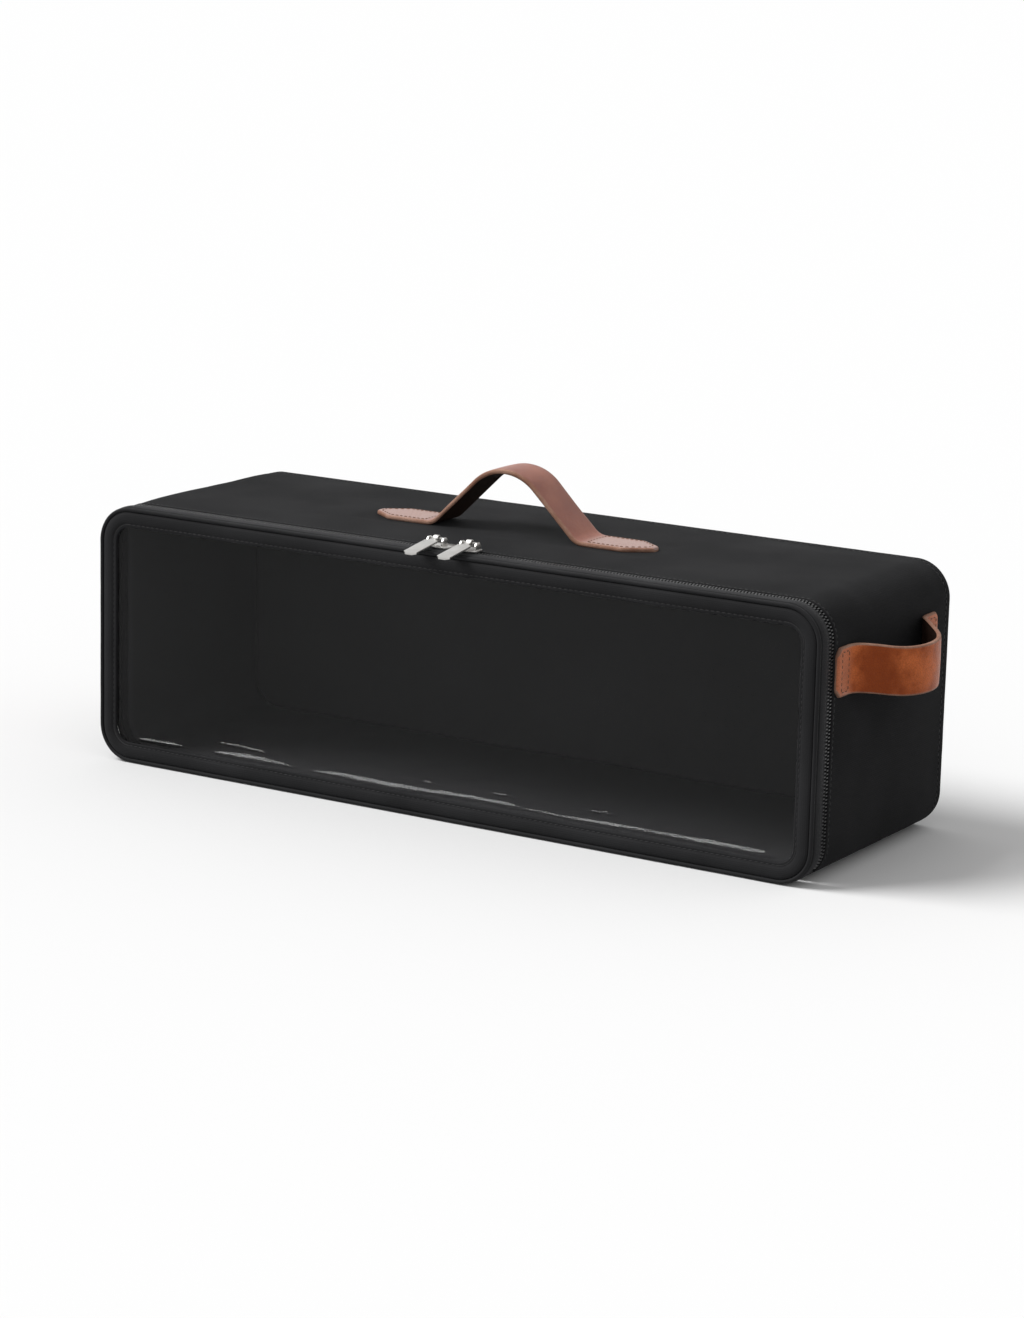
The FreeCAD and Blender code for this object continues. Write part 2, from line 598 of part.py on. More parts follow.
def add_strap_path(body, kind):
    """The strap's inner face seen from the side: flat end, bend, flank, crown and back down."""
    slope = math.radians(value("Sizes.flank_angle"))
    foot_radius = value("Sizes.foot_radius")
    foot = value(f"Sizes.{kind}_foot")
    tip = value(f"Sizes.{kind}_tip")
    crown = value(crown_radius(kind))
    crown_centre = value(f"Sizes.{kind}_rise") - crown
    bend_end = V(-foot + foot_radius * math.sin(slope), foot_radius * (1 - math.cos(slope)), 0)
    crown_start = V(-crown * math.sin(slope), crown_centre + crown * math.cos(slope), 0)
    path = new_sketch(body, "XZ_Plane", "path")
    left_circle = Part.Circle(V(-foot, foot_radius, 0), V(0, 0, 1), foot_radius)
    crown_circle = Part.Circle(V(0, crown_centre, 0), V(0, 0, 1), crown)
    right_circle = Part.Circle(V(foot, foot_radius, 0), V(0, 0, 1), foot_radius)
    down = -math.pi / 2
    up = math.pi / 2
    geometry = [
        Part.LineSegment(V(-tip, 0, 0), V(-foot, 0, 0)),
        Part.ArcOfCircle(left_circle, down, down + slope),
        Part.LineSegment(bend_end, crown_start),
        Part.ArcOfCircle(crown_circle, up - slope, up + slope),
        Part.LineSegment(V(-crown_start.x, crown_start.y, 0), V(-bend_end.x, bend_end.y, 0)),
        Part.ArcOfCircle(right_circle, down - slope, down),
        Part.LineSegment(V(foot, 0, 0), V(tip, 0, 0)),
    ]
    path.addGeometry(geometry, False)
    joints = ((0, 2, 1, 1), (1, 2, 2, 1), (2, 2, 3, 2), (3, 1, 4, 1), (4, 2, 5, 1), (5, 2, 6, 1))
    for one, one_end, other, other_end in joints:
        path.addConstraint(Sketcher.Constraint("Tangent", one, one_end, other, other_end))
    path.addConstraint(Sketcher.Constraint("Horizontal", 0))
    path.addConstraint(Sketcher.Constraint("Horizontal", 6))
    path.addConstraint(Sketcher.Constraint("PointOnObject", 3, 3, -2))
    path.addConstraint(Sketcher.Constraint("PointOnObject", 0, 1, -1))
    path.addConstraint(Sketcher.Constraint("PointOnObject", 6, 2, -1))
    bind(path, Sketcher.Constraint("DistanceX", 0, 1, -1, 1, tip), "left_tip", f"Sizes.{kind}_tip")
    bind(path, Sketcher.Constraint("DistanceX", -1, 1, 6, 2, tip), "right_tip", f"Sizes.{kind}_tip")
    bind(path, Sketcher.Constraint("DistanceX", 1, 1, -1, 1, foot), "left_foot", f"Sizes.{kind}_foot")
    bind(path, Sketcher.Constraint("Radius", 1, foot_radius), "left_bend", "Sizes.foot_radius")
    bind(path, Sketcher.Constraint("Radius", 5, foot_radius), "right_bend", "Sizes.foot_radius")
    bind(path, Sketcher.Constraint("Radius", 3, crown), "crown", crown_radius(kind))
    bind(path, Sketcher.Constraint("Angle", 2, slope), "left_slope", "Sizes.flank_angle")
    bind(path, Sketcher.Constraint("Angle", 4, -slope), "right_slope", "-Sizes.flank_angle")
    return path


def add_whole_strap(body, kind):
    """The strap over its whole length, swept along the path of its inner face."""
    path = add_strap_path(body, kind)
    profile = new_sketch(body, "YZ_Plane", "profile", f"-Sizes.{kind}_tip")
    add_rectangle(profile, "-Sizes.strap_width / 2", "Sizes.strap_width / 2", "0", "Sizes.strap_thickness")
    doc.recompute()
    strap = body.newObject("PartDesign::AdditivePipe", f"{body.Name}_sweep")
    strap.Profile = profile
    strap.Spine = (path, [f"Edge{i}" for i in range(1, path.GeometryCount + 1)])
    doc.recompute()


def add_end_sketch(body, name, radius, edge):
    """The area between a half circle below the swing axis and the height called edge."""
    sketch = new_sketch(body, "YZ_Plane", name)
    reach = value(radius)
    axis = value(SWING_HEIGHT)
    side = value(edge)
    circle = Part.Circle(V(0, axis, 0), V(0, 0, 1), reach)
    sketch.addGeometry([
        Part.ArcOfCircle(circle, math.pi, 2 * math.pi),
        Part.LineSegment(V(reach, axis, 0), V(reach, side, 0)),
        Part.LineSegment(V(reach, side, 0), V(-reach, side, 0)),
        Part.LineSegment(V(-reach, side, 0), V(-reach, axis, 0)),
    ], False)
    for one, one_end, other, other_end in ((0, 2, 1, 1), (1, 2, 2, 1), (2, 2, 3, 1), (3, 2, 0, 1)):
        sketch.addConstraint(Sketcher.Constraint("Coincident", one, one_end, other, other_end))
    sketch.addConstraint(Sketcher.Constraint("Vertical", 1))
    sketch.addConstraint(Sketcher.Constraint("Horizontal", 2))
    sketch.addConstraint(Sketcher.Constraint("Vertical", 3))
    sketch.addConstraint(Sketcher.Constraint("PointOnObject", 0, 3, -2))
    bind(sketch, Sketcher.Constraint("Radius", 0, reach), "radius", radius)
    bind(sketch, Sketcher.Constraint("DistanceY", -1, 1, 0, 3, axis), "axis", SWING_HEIGHT)
    bind(sketch, Sketcher.Constraint("DistanceY", -1, 1, 0, 1, axis), "arc_start", SWING_HEIGHT)
    bind(sketch, Sketcher.Constraint("DistanceY", -1, 1, 0, 2, axis), "arc_end", SWING_HEIGHT)
    bind(sketch, Sketcher.Constraint("DistanceY", -1, 1, 2, 1, side), "edge", edge)
    return sketch


def place_strap(body, seat):
    """Set a strap piece on the top, the right end or the left end of the box."""
    rotations = {
        "top": FreeCAD.Rotation(),
        "right": FreeCAD.Rotation(V(0, 1, 0), V(0, 0, 1), V(1, 0, 0), "ZXY"),
        "left": FreeCAD.Rotation(V(0, -1, 0), V(0, 0, 1), V(-1, 0, 0), "ZXY"),
    }
    body.Placement = FreeCAD.Placement(V(0, 0, 0), rotations[seat])
    if seat == "top":
        body.setExpression("Placement.Base.z", "Sizes.box_height")
    else:
        side = "" if seat == "right" else "-"
        body.setExpression("Placement.Base.x", f"{side}{HALF_WIDTH}")
        body.setExpression("Placement.Base.y", "-Sizes.side_shift")
        body.setExpression("Placement.Base.z", "Sizes.box_height - Sizes.side_drop")


def make_strap_loop(label, seat, kind):
    """The free loop of a strap. Its two ends are round about the swing axis."""
    body = new_body(label)
    add_whole_strap(body, kind)
    sketch = add_end_sketch(body, "below", LOOP_RADIUS, "-Sizes.cut_margin")
    add_through_pocket(body, sketch, "below_cut")
    place_strap(body, seat)
    return body


def make_strap_ends(label, seat, kind):
    """Both sewn-down ends of a strap: a flat tail with a cut tip, and the bend up to the loop."""
    body = new_body(label)
    add_whole_strap(body, kind)
    above = add_end_sketch(body, "above", f"({LOOP_RADIUS} + Sizes.strap_lift)",
                           f"({SWING_HEIGHT} + Sizes.{kind}_rise)")
    add_through_pocket(body, above, "above_cut")
    tips = new_sketch(body, "XY_Plane", "tips")
    half = "Sizes.strap_width / 2"
    point = f"Sizes.{kind}_point_width / 2"
    tip = f"Sizes.{kind}_tip"
    start = f"({tip} - Sizes.{kind}_taper)"
    beyond = f"({tip} + Sizes.cut_margin)"
    beside = f"({half} + Sizes.cut_margin)"
    for number, (along, across) in enumerate(((1, 1), (1, -1), (-1, 1), (-1, -1))):
        corners = [(start, half), (start, beside), (beyond, beside), (beyond, point), (tip, point)]
        add_polygon(tips, [(f"{along} * {x}", f"{across} * {y}") for x, y in corners], f"tip_{number}")
    add_through_pocket(body, tips, "tip_cut")
    place_strap(body, seat)
    return body


def make_parts():
    parts = [
        make_outer_cover(),
        make_sleeve_board(),
        make_lining(),
        make_back_board(),
        make_back_cover(),
        make_welt("back_piping", f"({BACK} - {WELT})", BACK_FLANGE, UNDER_BOARD),
        make_case_front_binding(),
        make_zip_tape("case_zip_tape", f"({ZIP} + Sizes.tape_edge_gap)", BOARD_FRONT),
        make_zip_teeth("case_zip_teeth", 1),
        make_zip_stops("case_zip_stops", 1),
        make_hinge_strip(),
        make_rim_cover(),
        make_rim_strip(),
        make_welt("flap_piping", FRONT, FRONT_PANEL_BACK, "Sizes.front_flange_reach"),
        make_window_border(),
        make_window_film(),
        make_zip_tape("flap_zip_tape", FRONT_FLANGE_BACK, f"({ZIP} - Sizes.tape_edge_gap)"),
        make_zip_teeth("flap_zip_teeth", -1),
        make_zip_stops("flap_zip_stops", -1),
        make_slider("slider_right", 0),
        make_slider("slider_left", 180),
        make_pull("pull_right", 1),
        make_pull("pull_left", -1),
    ]
    for seat, kind in (("top", "top"), ("right", "side"), ("left", "side")):
        parts.append(make_strap_ends(f"{seat}_handle_ends", seat, kind))
        parts.append(make_strap_loop(f"{seat}_handle_strap", seat, kind))
    return parts


def check(parts):
    """Stop before anything is written if an object failed or a shape isn't sound."""
    for item in doc.Objects:
        if "Invalid" in item.State or "Error" in item.State:
            raise RuntimeError(f"{item.Name} failed: {item.State}")
    for part in parts:
        if part.Shape.isNull() or not part.Shape.isValid() or not part.Shape.Solids:
            raise RuntimeError(f"{part.Label} has no sound shape")


def main():
    parts = make_parts()
    doc.recompute()
    check(parts)
    os.makedirs("parts", exist_ok=True)
    for part in parts:
        part.Shape.exportStep(f"parts/{part.Label}.step")
        box = part.Shape.BoundBox
        reach = f"x {box.XMin:.2f} {box.XMax:.2f} y {box.YMin:.2f} {box.YMax:.2f}"
        reach += f" z {box.ZMin:.2f} {box.ZMax:.2f}"
        print(f"{part.Label}: {len(part.Shape.Solids)} solids, {part.Shape.Volume:.0f} mm3, {reach}")


main()
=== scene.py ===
"""Looks of the cd storage box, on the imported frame.

Lengths are in millimetres, and MM turns them into metres. +Z is up and the window faces -Y.
"""

from contextlib import contextmanager
import math

import bmesh
import bpy
import numpy as np
from mathutils import Matrix, Vector, noise


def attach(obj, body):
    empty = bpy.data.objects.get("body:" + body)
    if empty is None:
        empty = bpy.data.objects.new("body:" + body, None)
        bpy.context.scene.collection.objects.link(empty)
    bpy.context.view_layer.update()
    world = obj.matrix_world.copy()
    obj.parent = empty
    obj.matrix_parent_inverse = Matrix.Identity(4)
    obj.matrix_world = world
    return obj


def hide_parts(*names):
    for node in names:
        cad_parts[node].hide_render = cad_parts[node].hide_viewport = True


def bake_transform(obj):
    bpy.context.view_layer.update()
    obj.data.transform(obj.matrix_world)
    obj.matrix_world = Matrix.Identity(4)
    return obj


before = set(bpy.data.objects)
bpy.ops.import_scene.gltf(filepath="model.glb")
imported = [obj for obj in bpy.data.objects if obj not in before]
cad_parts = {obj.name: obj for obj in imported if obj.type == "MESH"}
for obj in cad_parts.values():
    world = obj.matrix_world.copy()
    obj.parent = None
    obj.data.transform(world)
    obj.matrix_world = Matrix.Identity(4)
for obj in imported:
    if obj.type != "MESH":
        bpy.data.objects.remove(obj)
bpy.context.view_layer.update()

MM = 0.001

# The outline, seen from the front: half its width, its height and the radius of its corners.
HALF_WIDTH, HEIGHT, CORNER = 225.0, 145.0, 20.0
# Lengths along it: half a long side, a short side, a corner and the whole way round.
STRAIGHT = HALF_WIDTH - CORNER
UPRIGHT = HEIGHT - 2 * CORNER
ARC = CORNER * math.pi / 2
ROUND = 4 * STRAIGHT + 2 * UPRIGHT + 4 * ARC
# Where the zip's cloth starts and ends, and how far round the lower corners its teeth go.
U_START, U_END = STRAIGHT, ROUND - STRAIGHT
WRAP = ARC * 60 / 90

# Places in y: the middle of the zip, the ends of the wall's and the rim's cloth, and three seams.
ZIP_Y = -62.0
WALL_FRONT, WALL_BACK = -59.4, 72.5
RIM_FRONT, RIM_BACK = -72.5, -64.6
WALL_SEAM, BACK_SEAM, RIM_SEAM = -56.9, 69.6, -66.6

CLOTH = 1.15  # depth of the outer cloth's inner side
LIP = 203.0  # half the length of the lip along the bottom
SIDE_Y, SIDE_Z = -1.0, 109.0  # middle of the end straps
WELT = 1.1  # radius of the welts
STITCH_PITCH, TOOTH_PITCH = 3.2, 1.9
FORWARD = (0, -1, 0)  # the way the window faces

# Legs of the outline: length, whether it bends, and its start or, where it bends, its centre. The last
# one is endless, so that rounding can't lead past it.
LEGS = (
    (STRAIGHT, 0, (0, 0)),
    (ARC, 1, (STRAIGHT, CORNER)),
    (UPRIGHT, 0, (HALF_WIDTH, CORNER)),
    (ARC, 1, (STRAIGHT, HEIGHT - CORNER)),
    (2 * STRAIGHT, 0, (STRAIGHT, HEIGHT)),
    (ARC, 1, (-STRAIGHT, HEIGHT - CORNER)),
    (UPRIGHT, 0, (-HALF_WIDTH, HEIGHT - CORNER)),
    (ARC, 1, (-STRAIGHT, CORNER)),
    (math.inf, 0, (-STRAIGHT, 0)),
)


# Shapes

def outline(s):
    """Point and outward direction, both (x, z), at arc length s along the box's outline.

    s starts at the middle of the bottom and runs to the right, up, over the top and down again.
    """
    s %= ROUND
    turns = 0
    for length, bent, (x, z) in LEGS:
        if s <= length:
            break
        s -= length
        turns += bent
    heading = turns * math.pi / 2
    if bent:
        angle = heading + s / CORNER - math.pi / 2
        out = (math.cos(angle), math.sin(angle))
        return (x + CORNER * out[0], z + CORNER * out[1]), out
    way = (math.cos(heading), math.sin(heading))
    return (x + way[0] * s, z + way[1] * s), (way[1], -way[0])


def stations(start, end, step, corner_step):
    """Arc lengths from start to end, closer together in the corners."""
    marks = [0, STRAIGHT, STRAIGHT + ARC, STRAIGHT + ARC + UPRIGHT, STRAIGHT + 2 * ARC + UPRIGHT]
    marks += [ROUND - m for m in reversed(marks)]
    found = []
    for leg, (low, high) in enumerate(zip(marks, marks[1:])):
        low, high = max(low, start), min(high, end)
        if high <= low:
            continue
        count = math.ceil((high - low) / (corner_step if leg % 2 else step))
        found += [low + (high - low) * i / count for i in range(count)]
    return found + [end]


def all_round(step, corner_step):
    """Stations of a closed ring, whose last one isn't the first one again."""
    return stations(0, ROUND, step, corner_step)[:-1]


def even(start, span, parts):
    """Evenly spaced numbers from start to start + span."""
    return [start + span * i / parts for i in range(parts + 1)]


def spaced(points, step):
    """The same closed line with points added where they are further apart than step."""
    found = []
    for i, point in enumerate(points):
        one, two = np.array(point), np.array(points[(i + 1) % len(points)])
        parts = max(1, math.ceil(np.linalg.norm(two - one) / step))
        found += [tuple(one + (two - one) * j / parts) for j in range(parts)]
    return found


def softened(corners, step, steps=3):
    """A closed polygon with each corner (a, b, radius) rounded, and points no further apart than step."""
    found = []
    for i, (a, b, radius) in enumerate(corners):
        here = np.array((a, b), float)
        sides = []
        for other in (corners[i - 1], corners[(i + 1) % len(corners)]):
            way = np.array(other[:2], float) - here
            far = np.linalg.norm(way)
            sides.append(here + way / far * min(radius, 0.48 * far))
        one, two = sides
        for j in range(steps + 1):
            t = j / steps
            found.append(tuple((1 - t) ** 2 * one + 2 * t * (1 - t) * here + t * t * two))
    return spaced(found, step)


def lengths(profile, closed):
    """Distance along a profile at each of its points, in metres."""
    points = [np.array(p, float) for p in profile]
    if closed:
        points.append(points[0])
    found = [0.0]
    for one, two in zip(points, points[1:]):
        found.append(found[-1] + float(np.linalg.norm(two - one)) * MM)
    return found


def edge_distance(x, z):
    """How far a point of the front or back lies inside the box's outline."""
    dx, dz = abs(x) - STRAIGHT, abs(z - HEIGHT / 2) - UPRIGHT / 2
    if dx > 0 and dz > 0:
        return CORNER - math.hypot(dx, dz)
    return CORNER - max(dx, dz)


def cloud(x, y, z, size, seed):
    """Smooth noise from about -1 to 1 with features of a given size."""
    return noise.noise(Vector((x / size + seed, y / size - seed * 1.7, z / size + seed * 0.6))) * 1.6


def smooth(low, high, value):
    """0 at low and 1 at high, which may be the smaller of the two, with an eased slope between."""
    t = min(max((value - low) / (high - low), 0.0), 1.0)
    return t * t * (3 - 2 * t)


def bell(value, middle, width):
    """1 at the middle, falling to nothing on both sides."""
    return math.exp(-((value - middle) / width) ** 2)


class Piece:
    """Collects patches of faces, with UVs in metres, and makes one object of them."""

    def __init__(self):
        self.points, self.faces, self.uvs, self.indices = [], [], [], []

    def add_points(self, points):
        """Adds points and returns the index of the first."""
        first = len(self.points)
        self.points += [tuple(float(c) * MM for c in p) for p in points]
        return first

    def add_face(self, corners, uvs, index=0):
        """index is that of the face's material."""
        self.faces.append(corners)
        self.uvs.append(uvs)
        self.indices.append(index)

    def grid(self, rows, us, vs, ring=False, loop=False, index=0):
        """Quads between rows of points. A ring of rows is closed, and so is each row of a loop."""
        wide = len(rows[0])
        first = self.add_points([p for row in rows for p in row])
        for i in range(len(rows) if ring else len(rows) - 1):
            a, b = first + i * wide, first + (i + 1) % len(rows) * wide
            for j in range(wide if loop else wide - 1):
                k = (j + 1) % wide
                u0, u1, v0, v1 = us[i], us[i + 1], vs[j], vs[j + 1]
                self.add_face([a + j, a + k, b + k, b + j], [(u0, v0), (u0, v1), (u1, v1), (u1, v0)], index)
        if loop and not ring:
            for i in (0, len(rows) - 1):
                uvs = [(us[i] + 0.002 * math.cos(j), vs[j]) for j in range(wide)]
                self.add_face([first + i * wide + j for j in range(wide)], uvs, index)

    def tube(self, rings, uvs):
        """Quads between rings of points. uvs gives the corners' UVs at a ring and a point."""
        wide = len(rings[0])
        first = self.add_points([p for ring in rings for p in ring])
        for row in range(len(rings) - 1):
            a, b = first + row * wide, first + (row + 1) * wide
            for k in range(wide):
                m = (k + 1) % wide
                self.add_face([a + k, a + m, b + m, b + k], uvs(row, k))
        return first

    def plate(self, inset, y, hump, ss, marks):
        """A rounded plate whose rings shrink from the outline onto a line along its middle.

        marks are how far each ring has come, from 0 at the outline to 1 at that line.
        """
        half = HALF_WIDTH - HEIGHT / 2
        rings = []
        for t in marks:
            ring = []
            for s in ss:
                (x, z), (nx, nz) = outline(s)
                x, z = x - nx * inset, z - nz * inset
                mx, mz = min(max(x, -half), half), HEIGHT / 2
                x, z = x + (mx - x) * t, z + (mz - z) * t
                ring.append((x, y + hump(x, z), z))
            rings.append(ring)

        def flat(row, k):
            one, two, m = rings[row], rings[row + 1], (k + 1) % len(ss)
            return [(x * MM, z * MM) for x, _, z in (one[k], one[m], two[m], two[k])]

        self.tube(rings, flat)

    def swept(self, ss, profile, ring=False, loop=True, move=None):
        """A profile of (depth, y) carried along the outline. move may change it from place to place."""
        rows = []
        for s in ss:
            (x, z), (nx, nz) = outline(s)
            row = []
            for depth, y in profile:
                if move:
                    depth, y = move(s, x, z, depth, y)
                row.append((x - nx * depth, y, z - nz * depth))
            rows.append(row)
        us = [s * MM for s in ss] + ([ROUND * MM] if ring else [])
        self.grid(rows, us, lengths(profile, loop), ring, loop)

    def extruded(self, xs, profile, move=None):
        """A closed profile of (y, z) carried along X."""
        rows = [[(x, *(move(x, y, z) if move else (y, z))) for y, z in profile] for x in xs]
        self.grid(rows, [x * MM for x in xs], lengths(profile, True), loop=True)

    def make(self, name, material, body, replaces=(), hard=None):
        """The object. Its edges sharper than the angle hard, where one is given, aren't smoothed."""
        mesh = bpy.data.meshes.new(name)
        mesh.from_pydata(self.points, [], self.faces)
        layer = mesh.uv_layers.new(name="UVMap")
        layer.data.foreach_set("uv", [c for face in self.uvs for uv in face for c in uv])
        mesh.polygons.foreach_set("material_index", self.indices)
        with editing(mesh) as work:
            bmesh.ops.recalc_face_normals(work, faces=work.faces)
            shade(work, hard)
        mesh.materials.append(material)
        return settle(name, mesh, body, replaces)


@contextmanager
def editing(mesh):
    """A bmesh of the mesh, written back when the block ends."""
    work = bmesh.new()
    work.from_mesh(mesh)
    yield work
    work.to_mesh(mesh)
    work.free()


def sharper(edge, angle):
    return len(edge.link_faces) == 2 and edge.calc_face_angle(0) > angle


def shade(work, hard):
    """Smooth faces, apart from edges sharper than the angle hard."""
    for face in work.faces:
        face.smooth = True
    if hard is not None:
        for edge in work.edges:
            edge.smooth = not sharper(edge, hard)


def new_object(name, data):
    thing = bpy.data.objects.new(name, data)
    bpy.context.scene.collection.objects.link(thing)
    return thing


def settle(name, mesh, body, replaces):
    """An object with its body and the nodes it stands for. A piece given no body is left unattached."""
    thing = new_object(name, mesh)
    if body:
        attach(thing, body)
    if replaces:
        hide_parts(*replaces)
    return thing


# Materials

def rgba(colour, factor=1.0):
    return (*(c * factor for c in colour), 1)


class Nodes:
    """Short names for building a material's nodes."""

    def __init__(self, name):
        self.material = bpy.data.materials.new(name)
        self.material.use_nodes = True
        self.tree = self.material.node_tree
        self.shader = self.tree.nodes["Principled BSDF"]

    def add(self, kind, inputs=None, **settings):
        node = self.tree.nodes.new(kind)
        for key, setting in settings.items():
            setattr(node, key, setting)
        for key, given in (inputs or {}).items():
            self.put(node.inputs[key], given)
        return node

    def put(self, socket, given):
        """Links a socket or sets a constant."""
        if isinstance(given, bpy.types.NodeSocket):
            self.tree.links.new(given, socket)
        else:
            socket.default_value = given

    def math(self, operation, *given, clamp=False):
        inputs = dict(enumerate(given))
        return self.add("ShaderNodeMath", inputs, operation=operation, use_clamp=clamp).outputs[0]

    def times(self, one, two):
        return self.math("MULTIPLY", one, two)

    def plus(self, one, two, clamp=False):
        return self.math("ADD", one, two, clamp=clamp)

    def minus(self, one, two):
        return self.math("SUBTRACT", one, two)

    def scaled(self, given, factor, shift):
        return self.math("MULTIPLY_ADD", given, factor, shift)

    def mix(self, factor, one, two):
        """Two colours mixed. 6 and 7 are the node's sockets for colours."""
        return self.add("ShaderNodeMix", {0: factor, 6: one, 7: two}, data_type="RGBA").outputs[2]

    def ramp(self, given, low, high):
        """0 at low and 1 at high, with an eased slope between."""
        inputs = {"Value": given, "From Min": low, "From Max": high}
        return self.add("ShaderNodeMapRange", inputs, interpolation_type="SMOOTHSTEP").outputs[0]

    def noise(self, where, scale, detail, rough):
        inputs = {"Vector": where, "Scale": scale, "Detail": detail, "Roughness": rough}
        return self.add("ShaderNodeTexNoise", inputs).outputs["Fac"]

    def uv(self):
        node = self.add("ShaderNodeUVMap", uv_map="UVMap")
        node = self.add("ShaderNodeSeparateXYZ", {"Vector": node.outputs[0]})
        return node.outputs[0], node.outputs[1]

    def place(self):
        return self.add("ShaderNodeTexCoord").outputs["Object"]

    def weave(self, pitch):
        """Height of the threads of a plain weave."""
        u, v = [self.math("DIVIDE", c, pitch) for c in self.uv()]
        parity = self.math("MODULO", self.plus(self.math("FLOOR", u), self.math("FLOOR", v)), 2.0)
        parity = self.math("ABSOLUTE", parity)
        warp, weft = [self.math("SINE", self.times(self.math("FRACT", c), math.pi)) for c in (u, v)]
        one = self.times(self.math("SQRT", warp), self.scaled(weft, 0.45, 0.55))
        two = self.times(self.math("SQRT", weft), self.scaled(warp, 0.45, 0.55))
        return self.plus(self.times(one, self.minus(1.0, parity)), self.times(two, parity))

    def finish(self, tone, rough, relief, height, constants):
        """Colour, roughness and relief of a given height on the shader, with its constants."""
        bump = self.add("ShaderNodeBump", {"Height": relief, "Distance": height * MM, "Strength": 1.0})
        inputs = {"Base Color": tone, "Roughness": rough, "Normal": bump.outputs[0], **constants}
        for name, given in inputs.items():
            self.put(self.shader.inputs[name], given)
        return self.material


def fabric(name, colour, pitch=1.15, height=0.12, rough=0.85, shine=0.05, sheen=0.03, dark=0.64, light=1.44):
    """Woven cloth: threads over and under, and uneven dye and painted shade from the dark to the light
    factor.
    """
    n = Nodes(name)
    lift = n.weave(pitch * MM)
    where = n.place()
    patch = n.noise(where, 14.0, 3.0, 0.55)
    fibre = n.noise(where, 900.0, 2.0, 0.6)
    # The threads' height lightens the colour: painted shade in the dips between threads.
    tone = n.plus(n.times(n.ramp(patch, 0.3, 0.7), 0.55), n.times(lift, 0.3))
    tone = n.plus(tone, n.times(n.minus(fibre, 0.5), 0.25), clamp=True)
    tone = n.mix(tone, rgba(colour, dark), rgba(colour, light))
    wear_and_painted_sheen = n.scaled(n.minus(fibre, patch), 0.12, rough)
    return n.finish(tone, wear_and_painted_sheen, n.plus(lift, n.times(fibre, 0.35)), height, {
        "Specular IOR Level": shine, "Sheen Weight": sheen, "Sheen Roughness": 0.45,
        "Sheen Tint": (0.75, 0.76, 0.8, 1)})


def ribbed(name, colour, pitch, height, rough, shine=0.2, across=True):
    """A narrow woven tape or a twisted thread, with ribs along or across it."""
    n = Nodes(name)
    u, v = n.uv()
    rib = n.math("SINE", n.times(v if across else u, 2 * math.pi / (pitch * MM)))
    cross = n.math("SINE", n.times(u if across else v, 2 * math.pi / (0.55 * MM)))
    fibre = n.noise(n.place(), 1200.0, 2.0, 0.6)
    lift = n.plus(n.times(rib, 0.5), n.times(cross, 0.2))
    # The ribs' height lightens the colour: painted shade in the grooves between ribs.
    tone = n.plus(n.scaled(lift, 0.4, 0.5), n.minus(fibre, 0.5), clamp=True)
    tone = n.mix(tone, rgba(colour, 0.65), rgba(colour, 1.35))
    return n.finish(tone, n.scaled(fibre, 0.15, rough - 0.07), lift, height, {"Specular IOR Level": shine})


def leather(name, colour, pale, dark, rough, shine=0.1, depth=0.12, zones=None):
    """Strap leather: grain and darker handled patches. v runs across the strap.

    zones is (strap length, reach of the sewn ends, strength of the painted sheen that makes them paler,
    middle of the flanks, strength of the painted shade that darkens them). A face with zones also has its
    edges painted paler: partly edge colour, partly painted highlight where the rounded edges catch light.
    """
    n = Nodes(name)
    u, v = n.uv()
    where = n.place()
    cells = n.add("ShaderNodeTexVoronoi", {"Vector": where, "Scale": 750.0}, feature="DISTANCE_TO_EDGE")
    pores = n.ramp(cells.outputs[0], 0.0, 0.12)
    fine = n.noise(where, 1500.0, 3.0, 0.6)
    broad = n.noise(where, 60.0, 3.0, 0.6)
    patch = n.noise(where, 22.0, 2.0, 0.5)
    uneven = n.minus(broad, 0.5)
    tone = n.mix(n.ramp(broad, 0.3, 0.72), rgba(dark), rgba(colour))
    tone = n.mix(n.times(n.ramp(patch, 0.52, 0.75), 0.35), tone, rgba(pale))
    if zones:
        # Painted highlight: the face grows paler towards its edges, partly edge colour and partly light
        # caught on the rounded edges.
        reach = n.plus(n.math("ABSOLUTE", v), n.times(uneven, 2.2 * MM))
        tone = n.mix(n.times(n.ramp(reach, 11.0 * MM, 13.2 * MM), 0.62), tone, rgba(pale))
        whole, sewn, sewn_sheen_strength, flank, flank_shade_strength = zones
        near = n.math("MINIMUM", u, n.minus(whole * MM, u))
        near = n.plus(near, n.times(uneven, 6 * MM))
        # Painted shade: darker on the flanks, where the strap bends up from its foot and turns from the
        # light.
        off = n.math("ABSOLUTE", n.minus(near, flank * MM))
        tone = n.mix(n.times(n.ramp(off, 13 * MM, 3 * MM), flank_shade_strength), tone, rgba(dark))
        # Painted sheen: the flat sewn ends are made paler, standing for light glancing off them.
        wear_and_painted_sheen = n.times(n.ramp(near, (sewn + 5) * MM, (sewn - 5) * MM), sewn_sheen_strength)
        tone = n.mix(wear_and_painted_sheen, tone, rgba(pale))
    tone = n.mix(n.times(n.minus(1.0, pores), 0.3), tone, rgba(dark, 0.55))
    handled = n.plus(n.scaled(broad, 0.16, rough - 0.08), n.times(fine, 0.06))
    relief = n.plus(pores, n.times(fine, 0.5))
    return n.finish(tone, handled, relief, depth, {"Specular IOR Level": shine})


